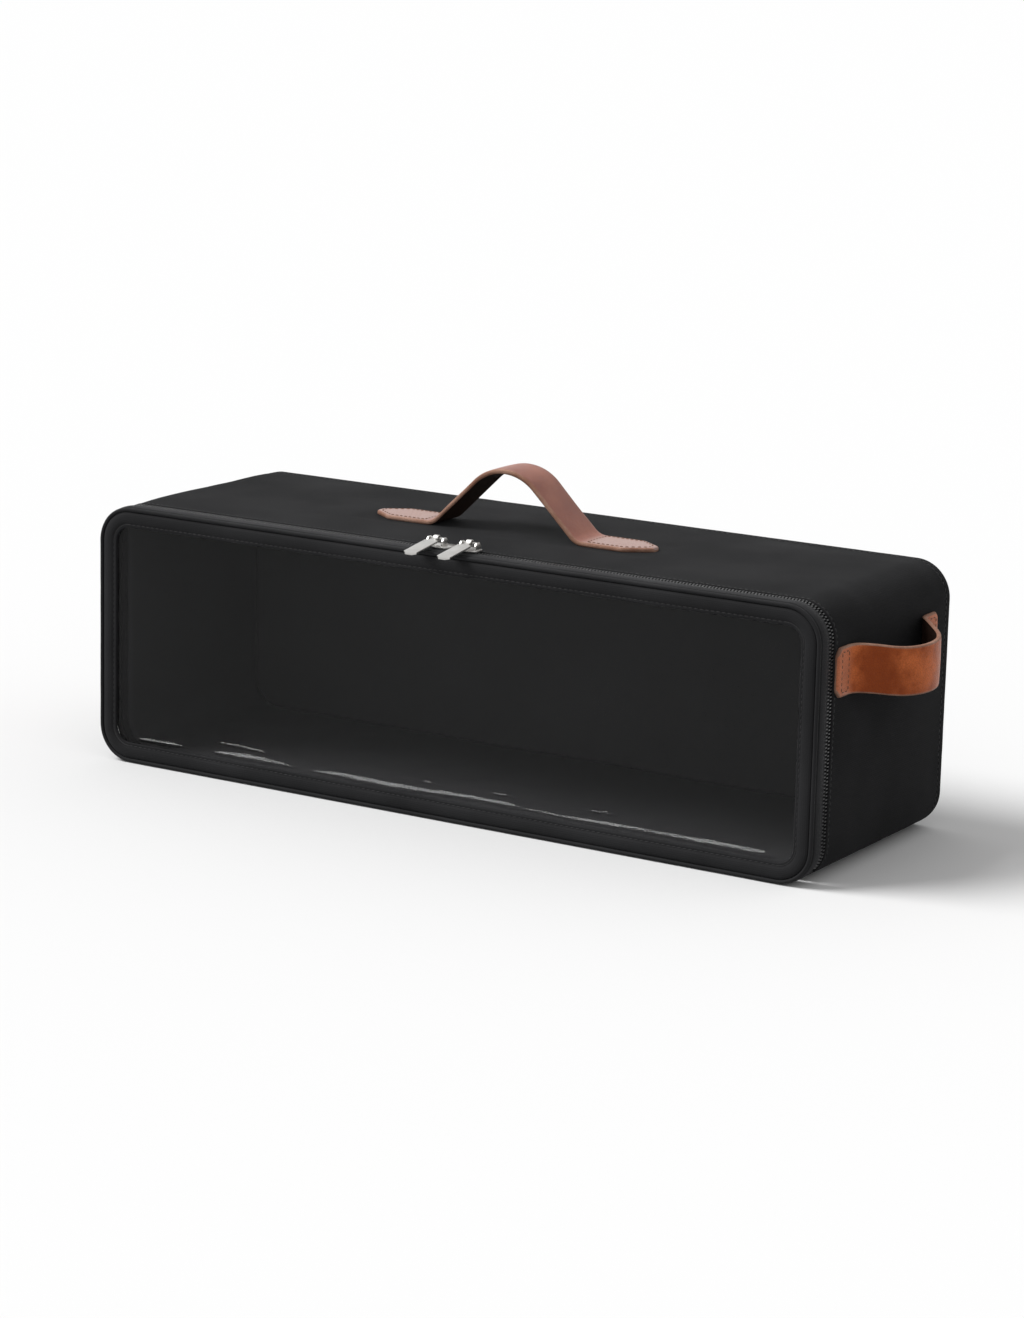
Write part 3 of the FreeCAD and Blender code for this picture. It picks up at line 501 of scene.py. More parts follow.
def metal(name, colour, rough):
    """Plated die-cast metal: fine brushing, cloudy plating and handling marks."""
    n = Nodes(name)
    where = n.place()
    brush = n.add("ShaderNodeMapping", {"Vector": where, "Scale": (1900.0, 160.0, 600.0)}).outputs[0]
    lines = n.noise(brush, 1.0, 2.0, 0.5)
    spots = n.noise(where, 160.0, 2.0, 0.5)
    tone = n.mix(n.ramp(spots, 0.35, 0.75), rgba(colour, 0.88), rgba(colour))
    marked = n.plus(n.scaled(lines, 0.06, rough - 0.03), n.times(n.ramp(spots, 0.5, 0.8), 0.05))
    return n.finish(tone, marked, lines, 0.0012, {"Metallic": 1.0})


def moulded(name, colour, rough, shine):
    """Moulded plastic with a faint texture."""
    n = Nodes(name)
    spots = n.noise(n.place(), 700.0, 3.0, 0.6)
    tone = n.mix(spots, rgba(colour, 0.7), rgba(colour, 1.3))
    return n.finish(tone, n.scaled(spots, 0.2, rough - 0.1), spots, 0.02, {"Specular IOR Level": shine})


def paperboard(name, colour):
    """Grey board with short fibres."""
    n = Nodes(name)
    fibre = n.noise(n.place(), 400.0, 4.0, 0.7)
    flecks = n.noise(n.place(), 90.0, 3.0, 0.6)
    tone = n.mix(n.ramp(fibre, 0.35, 0.7), rgba(colour, 0.75), rgba(colour))
    return n.finish(tone, n.scaled(flecks, 0.1, 0.85), fibre, 0.05, {"Specular IOR Level": 0.2})


def clear_film(name):
    """Soft clear sheet. What is behind it shows through, and waves catch the light."""
    n = Nodes(name)
    where = n.place()
    haze = n.noise(where, 18.0, 3.0, 0.6)
    scuff = n.noise(where, 260.0, 2.0, 0.5)
    tone = n.mix(haze, (0.004, 0.004, 0.004, 1), (0.016, 0.016, 0.017, 1))
    rough = n.plus(n.scaled(haze, 0.06, 0.03), n.times(n.ramp(scuff, 0.55, 0.8), 0.08))
    return n.finish(tone, rough, n.noise(where, 45.0, 1.0, 0.3), 0.15, {
        "Alpha": 0.18, "IOR": 1.5, "Specular IOR Level": 0.66, "Coat Weight": 0.2, "Coat Roughness": 0.05})


shell_cloth = fabric("shell_cloth", (0.0135, 0.0135, 0.014))
# A lighter copy of the black shell cloth: painted light for the brighter front frame.
frame_cloth = fabric("frame_cloth", (0.0165, 0.0165, 0.0175), pitch=1.05, height=0.1, rough=0.7, shine=0.1,
                     sheen=0.06)
welt_cloth = fabric("welt_cloth", (0.014, 0.014, 0.015), pitch=0.75, height=0.08, rough=0.65, shine=0.12,
                    sheen=0.05)
lining_cloth = fabric("lining_cloth", (0.045, 0.045, 0.047), pitch=0.9, height=0.012, rough=0.8, dark=0.874,
                      light=1.134)
hem_cloth = fabric("hem_cloth", (0.011, 0.011, 0.012), pitch=0.7, height=0.07, rough=0.7, shine=0.08)
tape_weave = ribbed("tape_weave", (0.011, 0.011, 0.012), pitch=0.9, height=0.07, rough=0.7)
tooth_plastic = moulded("tooth_plastic", (0.012, 0.012, 0.013), rough=0.3, shine=0.5)
THREAD = dict(pitch=0.3, height=0.03, rough=0.5, shine=0.35, across=False)
black_thread = ribbed("black_thread", (0.015, 0.015, 0.016), **THREAD)
brown_thread = ribbed("brown_thread", (0.16, 0.075, 0.04), **THREAD)
strap_back = leather("strap_back", colour=(0.03, 0.014, 0.009), pale=(0.05, 0.026, 0.018),
                     dark=(0.016, 0.008, 0.005), rough=0.75)
# Paler than the face: partly edge paint, partly painted highlight where the rounded edges catch light.
strap_edge = leather("strap_edge", colour=(0.44, 0.26, 0.19), pale=(0.52, 0.36, 0.29),
                     dark=(0.27, 0.13, 0.085), rough=0.5)
nickel = metal("nickel", (0.56, 0.55, 0.53), rough=0.3)
grey_board = paperboard("grey_board", (0.20, 0.185, 0.16))
film_clear = clear_film("film_clear")


# Stitches

# Rings of a strand: place along it, thickness and height, as parts of its own sizes.
STRAND = ((-0.5, 0.45, -0.35), (-0.28, 1.0, 0.35), (0.28, 1.0, 0.35), (0.5, 0.45, -0.35))


def strand_uvs(row, k):
    """UVs of the corners of one face of a strand."""
    u, v = row * 0.0007, k * 0.0003
    return [(u, v), (u, v + 0.0003), (u + 0.0007, v + 0.0003), (u + 0.0007, v)]


def stitch_row(piece, samples, length=2.3, width=0.5, height=0.28):
    """Thread stitches: at each (place, along, out) a short strand that dips into the cloth at both ends."""
    for place, along, out in samples:
        place, along, out = Vector(place), Vector(along).normalized(), Vector(out).normalized()
        side = along.cross(out)
        rings = []
        for t, size, rise in STRAND:
            ring = []
            for k in range(6):
                a = k * math.pi / 3
                p = place + along * (t * length) + side * (math.cos(a) * width / 2 * size)
                ring.append(p + out * (math.sin(a) * height * size * 0.8 + rise * height))
            rings.append(ring)
        piece.tube(rings, strand_uvs)


def outline_stitches(start, end, depth, y, out=None, on=None):
    """Stitch places along the outline at one depth and y.

    out is the way they face, or None for outwards, and on may change their depth from place to place.
    """
    count = round((end - start) / STITCH_PITCH)
    found = []
    for i in range(count):
        s = start + (i + 0.5) * (end - start) / count
        (x, z), (nx, nz) = outline(s)
        d = on(z, depth) if on else depth
        found.append(((x - nx * d, y, z - nz * d), (-nz, 0, nx), out or (nx, 0, nz)))
    return found


# Case

ALL_ROUND = all_round(5.0, 2.0)
U_ROUND = stations(U_START, U_END, 5.0, 2.0)


def near_strap(x, z, y):
    """1 under a strap's foot and close beside it, where the cover is held flat."""
    top = smooth(95, 87, abs(x)) * smooth(24, 17, abs(y)) * smooth(140, 144, z)
    side = smooth(220, 224, abs(x)) * smooth(65, 59, abs(y - SIDE_Y)) * smooth(24, 17, abs(z - SIDE_Z))
    return max(top, side)


def cover_shape(s, x, z, depth, y):
    """How the outer cloth stands off its board: seams pull it in, and it swells a little between them."""
    if depth > 0.9:
        return depth, y
    seam = min(y - WALL_FRONT, WALL_BACK - y)
    swell = 0.55 * smooth(0, 22, seam) + 0.45 * cloud(x, y, z, 70, 3.1) * smooth(2, 26, seam)
    swell += 0.16 * cloud(x, y, z, 19, 7.7) * smooth(1, 10, seam)
    swell += 0.13 * cloud(s, 0, 0, 7, 1.3) * bell(seam, 3.0, 3.5)
    swell += 0.1 * bell(y, -58.4, 0.8) - 0.22 * bell(y, WALL_SEAM, 0.55)
    swell += 0.1 * bell(y, 71.2, 0.8) - 0.25 * bell(y, BACK_SEAM, 0.6)
    swell = min(swell, 0.95)
    held = near_strap(x, z, y)
    swell = swell * (1 - held) + 0.05 * held
    if y < -50:  # beside the zip, where the sliders run
        swell = min(swell, 0.2)
    if z < 0.5:  # inside the plane that the box stands on
        swell = min(swell, -0.02)
    elif z < CORNER:
        swell = min(swell, 0.04 * z)
    return depth - swell, y


def fine_ys(low, high):
    """Y places from low to high, close together near both ends."""
    edge, fine = 6.0, 0.55
    marks = range(int(edge / fine) + 1)
    middle = high - low - 2 * edge
    count = math.ceil(middle / 5.0)
    ys = [low + fine * i for i in marks]
    ys += [low + edge + middle * i / count for i in range(1, count)]
    return ys + [high - fine * i for i in reversed(marks)]


def case_cover():
    """The outer cloth all round, and the lip that runs forward along the bottom."""
    piece = Piece()
    profile = [(0.95, WALL_FRONT), (0.5, WALL_FRONT), (0.2, -59.25)]
    profile += [(0.0, y) for y in fine_ys(-59.15, 72.2)[1:]]
    profile += [(0.5, 72.45), (CLOTH, 72.45)]
    profile += [(CLOTH, y) for y in (40.0, 0.0, -30.0, -52.0, -59.0)]
    piece.swept(ALL_ROUND, profile, ring=True, move=cover_shape)
    lip = softened([(-70.2, 0.0, 0.5), (-70.2, CLOTH, 0.5), (-59.2, CLOTH, 0.4), (-59.2, 0.0, 0.2)], 3.0)
    piece.extruded(even(-LIP, 2 * LIP, 60), lip)
    piece.make("case_cover", shell_cloth, "case", ["outer_cover"])


def ring_marks(rings):
    """Rings of a plate, closer together near the outline."""
    return [(ring / (rings - 1)) ** 1.35 for ring in range(rings)]


def back_hump(x, z):
    """How far the back's cloth stands off its board."""
    d = edge_distance(x, z)
    rise = 0.55 * smooth(2.0, 14, d) + 0.5 * cloud(x, 0, z, 80, 9.2) * smooth(4, 30, d)
    rise += 0.12 * cloud(x, 0, z, 18, 2.2) * smooth(3, 12, d) - 0.3 * (1 - smooth(2.0, 3.2, d))
    return min(rise, 0.75)


def back_panel():
    piece = Piece()
    inset = 2.05
    piece.plate(inset, 74.05, back_hump, ALL_ROUND, ring_marks(26))
    piece.swept(ALL_ROUND, [(inset, 73.75), (inset, 73.15)], ring=True, loop=False)
    piece.make("back_panel", shell_cloth, "case", ["back_cover"])


def welt(name, y, body, node):
    """A cloth-covered cord along the edge, a little uneven from hand sewing."""
    def uneven(s, x, z, depth, yy):
        pull = 0.05 * cloud(s, 0, 0, 9, y * 0.1)
        lift = 0.0 if z < 0.3 else 1.0
        return max(depth - pull * lift, 0.0), yy + 0.06 * cloud(s, 4, 0, 13, y * 0.1)

    piece = Piece()
    angles = [2 * math.pi * k / 12 for k in range(12)]
    ring = [(WELT - WELT * math.cos(a), y + WELT * math.sin(a)) for a in angles]
    piece.swept(all_round(4.0, 1.6), ring, ring=True, move=uneven)
    piece.make(name, welt_cloth, body, [node])


def binding():
    """The folded band on the front edge of the wall."""
    def soft(s, x, z, depth, y):
        return depth + 0.12 * cloud(s, y, 0, 11, 5.0), y + 0.1 * cloud(s, 0, 3, 15, 5.0) * (y < -57)

    piece = Piece()
    loop = softened([(1.85, -59.35, 0.9), (4.15, -59.35, 1.0), (4.15, -54.0, 0.3), (1.85, -54.0, 0.2)], 1.8)
    piece.swept(U_ROUND, loop, move=soft)
    piece.make("front_binding", hem_cloth, "case", ["case_front_binding"])


def tape(name, front, back, body, node):
    """The cloth that a row of teeth sits on."""
    piece = Piece()
    outer, inner = 1.22, 1.78
    corners = [(outer, front, 0.25), (outer, back, 0.1), (inner, back, 0.1), (inner, front, 0.25)]
    piece.swept(U_ROUND, softened(corners, 1.6, 2))
    piece.make(name, tape_weave, body, [node])


def lining():
    """The inner cloth: its wall, its back and the fold over the lip along the bottom."""
    def soft(s, x, z, depth, y):
        swell = 0.5 * cloud(x, y, z, 60, 4.4) + 0.15 * cloud(x, y, z, 16, 8.4)
        return (depth + max(0.0, swell + 0.25) if depth > 3.5 else depth), y

    def hollow(x, z):
        d = edge_distance(x, z)
        return -0.45 * smooth(4, 40, d) - 0.5 * max(0.0, cloud(x, 0, z, 55, 6.5)) * smooth(6, 25, d)

    piece = Piece()
    outer, inner, front, back = 3.25, 3.95, -53.9, 70.3
    loop = [(inner, y) for y in even(front, 124.2, 30)] + [(outer, back), (outer, 0.0), (outer, front)]
    piece.swept(ALL_ROUND, loop, ring=True, move=soft)
    piece.plate(3.6, back, hollow, ALL_ROUND, ring_marks(18))
    lip = softened([(-69.9, 3.25, 0.3), (-69.9, 4.0, 0.5), (-53.7, 4.0, 0.2), (-53.7, 3.25, 0.2)], 3.0)
    piece.extruded(even(-LIP, 2 * LIP, 50), lip)
    piece.make("case_lining", lining_cloth, "case", ["lining"])


def hinge():
    """The doubled cloth at the front of the lip, and the web from it to the flap, left without a body."""
    def soft(x, y, z):
        return y, max(z + 0.12 * cloud(x, y, z, 12, 6.0) * (z > 1), 0.02)

    piece = Piece()
    loop = softened([(-71.95, 0.05, 0.5), (-71.95, 4.0, 0.9), (-69.9, 4.05, 0.4), (-69.9, 0.05, 0.3)], 1.2)
    piece.extruded(even(-LIP, 2 * LIP, 70), loop, move=soft)
    piece.make("hinge_fold", shell_cloth, "case", ["hinge_strip"])
    web = Piece()
    ys = even(-71.3, -1.9, 9)
    upper = [(y, 1.55 + 0.12 * math.sin((y + 71.3) * 2)) for y in ys]
    lower = [(y, 0.75) for y in reversed(ys)]
    web.extruded(even(-202.5, 405, 80), upper + lower)
    sheet = web.make("hinge_web", shell_cloth, None)
    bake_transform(sheet)


# Zip

def tooth(piece, s, side, length=1.95, width=1.15, height=1.05):
    """One moulded tooth: a rounded finger whose head is a little wider than its neck.

    side is 1 for the case's row and -1 for the flap's.
    """
    gap, seat = 0.4, 1.2  # from the middle of the zip to the head, and the depth of the tape
    (x, z), (nx, nz) = outline(s)
    base = Vector((x - nx * seat, 0, z - nz * seat))
    along, out = Vector((-nz, 0, nx)), Vector((nx, 0, nz))
    rings = []
    for across, wide, tall in ((gap, 0.62, 0.62), (gap + 0.12, 0.92, 0.92), (gap + 0.7, 1.0, 1.0),
                               (gap + 1.15, 0.8, 0.92), (gap + length * 0.9, 1.12, 0.95),
                               (gap + length, 1.0, 0.55)):
        w, h = width / 2 * wide, height * tall
        section = ((-w, 0.0), (-w, h * 0.62), (-w * 0.6, h), (w * 0.6, h), (w, h * 0.62), (w, 0.0))
        shift = Vector((0, ZIP_Y + side * across, 0))
        rings.append([base + along * du + out * dv + shift for du, dv in section])
    first = piece.tube(rings, lambda row, k: [(0, 0), (0, 0.001), (0.001, 0.001), (0.001, 0)])
    for row in (0, len(rings) - 1):
        piece.add_face([first + row * 6 + k for k in range(6)], [(0, 0)] * 6)


HARD = 0.7  # angle, in radians, above which a tooth's edge stays hard


def zip_parts():
    """Both rows of teeth, from the middle of the top down to the stops. The rows are half a pitch apart."""
    low = U_START + ARC - WRAP
    high = ROUND - low
    middle = ROUND / 2
    to_stop, to_tooth = 2.9, 5.5  # from a row's end
    for side, body, prefix, offset in ((1, "case", "case", 0.0), (-1, "front_flap", "flap", 0.5)):
        teeth = Piece()
        reach = int((high - middle - to_tooth) / TOOTH_PITCH - offset)
        for i in range(-reach, reach + 1):
            tooth(teeth, middle + (i + offset) * TOOTH_PITCH, side)
        teeth.make(f"{prefix}_teeth", tooth_plastic, body, [f"{prefix}_zip_teeth"], hard=HARD)
        stops = Piece()
        for s in (low + to_stop, high - to_stop):
            tooth(stops, s, side, length=2.0, width=3.3, height=1.25)
        stops.make(f"{prefix}_stops", tooth_plastic, body, [f"{prefix}_zip_stops"], hard=HARD)


def bevelled(node, name, body, width, blocks=()):
    """A copy of a metal node with its edges broken. blocks are outlines, drawn out along X, joined to it."""
    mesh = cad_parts[node].data.copy()
    mesh.name = name
    with editing(mesh) as work:
        bmesh.ops.remove_doubles(work, verts=work.verts, dist=1e-6)
        bmesh.ops.dissolve_limit(work, angle_limit=math.radians(2), verts=work.verts, edges=work.edges)
        for ends, section in blocks:
            near, far = [[work.verts.new((x * MM, y * MM, z * MM)) for y, z in section] for x in ends]
            faces = [work.faces.new(near), work.faces.new(list(reversed(far)))]
            for i in range(len(section)):
                k = (i + 1) % len(section)
                faces.append(work.faces.new((near[k], near[i], far[i], far[k])))
            bmesh.ops.recalc_face_normals(work, faces=faces)
        sharp = [edge for edge in work.edges if sharper(edge, math.radians(25))]
        bmesh.ops.bevel(work, geom=sharp, offset=width * MM, segments=2, profile=0.6, affect="EDGES",
                        clamp_overlap=True)
        shade(work, math.radians(38))
    mesh.materials.clear()
    mesh.materials.append(nickel)
    settle(name, mesh, body, [node])


def cheeks(sign):
    """The broad ends of a slider's bridge, in the plane across the zip, with sloping shoulders."""
    foot, high = HEIGHT + 1.5, HEIGHT + 5.5
    section = [(ZIP_Y - 2.7, foot), (ZIP_Y + 2.7, foot), (ZIP_Y + 2.5, high - 1.6), (ZIP_Y + 1.3, high),
               (ZIP_Y - 1.3, high), (ZIP_Y - 2.5, high - 1.6)]
    return [(sorted((sign * near, sign * far)), section) for near, far in ((5.0, 6.25), (14.45, 15.6))]


def sliders():
    """Both sliders and their pulls."""
    for side, sign in (("right", 1), ("left", -1)):
        bevelled(f"slider_{side}", f"zip_slider_{side}", f"slider_{side}_body", 0.17, cheeks(sign))
        bevelled(f"pull_{side}", f"zip_pull_{side}", f"pull_{side}_body", 0.22)


# Flap

def rim_shape(s, x, z, depth, y):
    """How the rim's cloth stands off its stiffener."""
    if depth > 0.9:
        return depth, y
    swell = 0.35 * smooth(0, 3.5, min(y - RIM_FRONT, RIM_BACK - y)) + 0.12 * cloud(s, y, 0, 16, 2.5)
    swell += 0.1 * cloud(s, 0, 0, 6, 4.6) * bell(y, -71.5, 1.5)
    swell -= 0.25 * bell(y, RIM_SEAM, 0.5)
    swell = min(swell, 0.3 if z > 1 else -0.02)
    return depth - swell, y


def flap_rim():
    """The rim's cloth, and the lined stiffener inside it."""
    piece = Piece()
    ys = even(-72.2, 7.5, 15)
    profile = [(0.95, RIM_FRONT), (0.5, RIM_FRONT), (0.1, ys[0])]
    profile += [(0.0, y) for y in ys[1:-1]]
    profile += [(0.1, ys[-1]), (0.5, RIM_BACK), (CLOTH, -64.65), (CLOTH, -68.0), (CLOTH, -72.0)]
    piece.swept(U_ROUND, profile, move=rim_shape)
    piece.make("flap_rim", frame_cloth, "front_flap", ["flap_rim_cover"])

    def soft(s, x, z, depth, y):
        return depth + (0.14 * cloud(s, y, 0, 13, 9.0) if depth > 2.5 else 0.0), y

    inner = Piece()
    loop = softened([(1.85, -72.4, 0.2), (3.35, -72.4, 0.2), (3.35, -65.2, 0.7), (1.85, -65.2, 0.6)], 1.4)
    inner.swept(U_ROUND, loop, move=soft)
    inner.make("flap_rim_lining", lining_cloth, "front_flap", ["flap_rim_strip"])


def border_shape(s, x, z, depth, y):
    """Puckers of the border's padding and of its inner hem."""
    if y > -73.4:
        return depth, y
    puff = smooth(2.2, 4.0, depth) * smooth(9.4, 8.0, depth)
    y -= puff * (0.14 * cloud(x, 0, z, 24, 1.9) + 0.1 * cloud(s, 0, 0, 8, 3.9))
    depth += 0.12 * cloud(s, 2, 0, 14, 8.8) * smooth(9.0, 11.0, depth)
    return depth, y


def window_frame():
    """The padded border, its hem towards the film and the row of stitches between them."""
    piece = Piece()
    padding = [(2.2, -73.15), (2.3, -73.8), (2.9, -74.5), (4.0, -74.95), (5.4, -75.15), (6.8, -75.1),
               (8.0, -74.85), (8.8, -74.5), (9.2, -74.2), (9.5, -74.12)]
    hem = [(9.9, -74.3), (10.4, -74.38), (10.9, -74.2), (11.15, -73.8), (11.15, -73.2)]
    back = [(9.0, -73.12), (6.0, -73.12), (4.0, -73.12)]
    piece.swept(all_round(4.0, 1.8), spaced(padding + hem + back, 1.2), ring=True, move=border_shape)
    piece.make("window_frame", frame_cloth, "front_flap", ["window_border"])
    stitches = Piece()
    stitch_row(stitches, outline_stitches(0, ROUND, 9.5, -74.16, out=FORWARD))
    stitches.make("window_stitching", black_thread, "front_flap")


def film_wave(x, z):
    """Slack sheet: long shallow waves, creases from the lower corners and two rolled folds along the bottom.

    Negative is outwards, towards the front. It is flat where it is sewn.
    """
    d = edge_distance(x, z)
    wave = 0.7 * cloud(x, 0, z, 85, 5.5) + 0.3 * cloud(x, z * 0.4, z, 30, 1.5)
    for side in (-1, 1):
        out, up = x * side - 210, z - 8  # from where that corner's crease starts
        wave += 0.35 * bell(out * 0.62 + up * 0.78, 0, 5.0) * smooth(70, 10, math.hypot(out, up))
    wave *= smooth(11.0, 24.0, d)
    wave += 0.12 * cloud(x, 0, z, 9, 6.1) * smooth(11, 13, d) * smooth(26, 15, d)
    low = 13.9 + 0.9 * cloud(x, 0, 0, 46, 2.7)
    high = 19.4 + 1.3 * cloud(x, 0, 0, 60, 9.4)
    bulge = rolled(z - low, 1.25 + 1.0 * cloud(x, 0, 0, 34, 8.1) + 0.3 * cloud(x, 0, 0, 13, 3.3))
    bulge += rolled(z - high, 0.1 + 1.1 * cloud(x, 0, 0, 37, 4.8) + 0.25 * cloud(x, 0, 0, 15, 7.3))
    ends = smooth(214, 190, abs(x)) * smooth(10.4, 12.5, d)
    return wave - bulge * ends


def rolled(above, height):
    """Section of a fold: steep under its crest, and a gentler slope above it."""
    height = min(max(height, 0.0), 1.9)
    if height < 0.05:
        return 0.0
    return height * smooth(-1.1 * height if above < 0 else 1.5 * height, 0, above)


def window():
    """The clear sheet. Its rings are close together where the folds along the bottom lie."""
    piece = Piece()
    inset = 4.9
    reach = HEIGHT / 2 - inset
    near = [0.0, 2.4, 4.4, 5.6] + [6.2 + 0.36 * i for i in range(38)]
    far = [reach - (reach - near[-1]) * (1 - i / 16) ** 1.2 for i in range(1, 17)]
    piece.plate(inset, -72.95, film_wave, all_round(2.0, 1.6), [d / reach for d in near + far])
    piece.make("window_sheet", film_clear, "front_flap", ["window_film"])


# Straps

STRAP_W, STRAP_T, FOOT_R, SLOPE = 26.0, 2.4, 12.0, math.radians(44)
DROOP = 3.2  # how far the middle of an end strap hangs below its sewn ends
EDGE = 0.95  # width of the rounded edges
TIP = 1.4  # length over which a tip is pared down
UNDER = 0.03  # height of the underside above the cover
FACE_PARTS = 14  # across the face
# Sizes from the strap's middle: the crown's height, the bend and the tip; then the tip's length and width.
# Looks: colours, strength of the painted sheen on the sewn ends, middle of the flanks' painted shade and its
# strength. The top and end straps are one leather in two colours, lit and shaded copies: the top's darker
# and pinker, for the light and reflection it gets from above, the end straps' brighter and more orange, to
# make up for the shade on the box's ends.
STRAPS = {
    "top": dict(rise=33.5, foot=50.0, tip=88.0, taper=14.0, point=6.0, colour=(0.34, 0.12, 0.075),
                pale=(0.42, 0.28, 0.245), dark=(0.24, 0.07, 0.042), shine=0.3, sewn=0.85, flank=64, flank_shade=0.3),
    "side": dict(rise=24.6, foot=45.0, tip=57.0, taper=3.0, point=20.0, colour=(0.66, 0.17, 0.05),
                 pale=(0.70, 0.29, 0.18), dark=(0.28, 0.052, 0.01), shine=0.1, sewn=0.5, flank=31, flank_shade=0.85),
}


def strap_line(kind, step=1.6):
    """The inner face from one tip to the other: (along, height, direction, distance from the start)."""
    size = STRAPS[kind]
    bend_x, bend_h = FOOT_R * math.sin(SLOPE), FOOT_R * (1 - math.cos(SLOPE))
    run, rise = size["foot"] - bend_x, size["rise"] - bend_h
    crown = (run * math.sin(SLOPE) - rise * math.cos(SLOPE)) / (1 - math.cos(SLOPE))
    middle = size["rise"] - crown
    start = (-size["foot"] + bend_x, bend_h)
    end = (-crown * math.sin(SLOPE), middle + crown * math.cos(SLOPE))

    def on_line(t):
        return -size["tip"] + t, 0.0, 0.0

    def on_foot(t):
        a = t / FOOT_R
        return -size["foot"] + FOOT_R * math.sin(a), FOOT_R * (1 - math.cos(a)), a

    def on_flank(t):
        return start[0] + t * math.cos(SLOPE), start[1] + t * math.sin(SLOPE), SLOPE

    def on_crown(t):
        a = SLOPE - t / crown
        return -crown * math.sin(a), middle + crown * math.cos(a), a

    flank = math.hypot(end[0] - start[0], end[1] - start[1])
    legs = ((on_line, size["tip"] - size["foot"]), (on_foot, FOOT_R * SLOPE), (on_flank, flank),
            (on_crown, crown * SLOPE))
    half = []
    gone = 0.0
    for leg, length in legs:
        count = math.ceil(length / step)
        for i in range(count):
            t = length * i / count
            half.append((*leg(t), gone + t))
        gone += length
    whole = half + [(0.0, size["rise"], 0.0, gone)]
    whole += [(-x, h, -a, 2 * gone - t) for x, h, a, t in reversed(half)]
    return whole, 2 * gone


def strap_half_width(kind, t, total):
    """Half the strap's width at a distance t from one of its tips."""
    size = STRAPS[kind]
    t = min(t, total - t)
    full, point = STRAP_W / 2, size["point"] / 2
    if t >= size["taper"]:
        return full
    return point + (full - point) * t / size["taper"]


def strap_leather(kind):
    """Face of the top or end straps: sewn ends paler with painted sheen, flanks darker with painted shade."""
    size = STRAPS[kind]
    zones = (strap_line(kind)[1], size["tip"] - size["foot"], size["sewn"], size["flank"], size["flank_shade"])
    colours = size["colour"], size["pale"], size["dark"]
    return leather(f"strap_face_{kind}", *colours, rough=0.34, shine=size["shine"], depth=0.07, zones=zones)


FACE_LEATHER = {kind: strap_leather(kind) for kind in STRAPS}


def strap_place(seat):
    """Turns (along, across, height) on a strap into a place on the box."""
    if seat == "top":
        return lambda a, c, h: (a, c, HEIGHT + h)
    sign = 1 if seat == "right" else -1
    return lambda a, c, h: (sign * (HALF_WIDTH + h), SIDE_Y + sign * a, SIDE_Z + c)


def strap_section(put, half, thick, crown):
    """One section: the face, both edges and the underside, through put, which takes (across, lift)."""
    face = [put(q * (half - EDGE), thick + (1 - q * q) * crown) for q in even(-1, 2, FACE_PARTS)]
    rim = [(half - EDGE, thick), (half - EDGE * 0.55, thick - 0.1), (half - EDGE * 0.15, thick - 0.42),
           (half, thick * 0.5), (half - EDGE * 0.15, 0.38), (half - EDGE * 0.5, 0.08)]
    right = [put(c, lift) for c, lift in rim]
    left = [put(-c, lift) for c, lift in reversed(rim)]
    under = [put(c * (half - EDGE * 0.5), UNDER) for c in (1.0, 0.5, 0.0, -0.5, -1.0)]
    return face, right, left, under


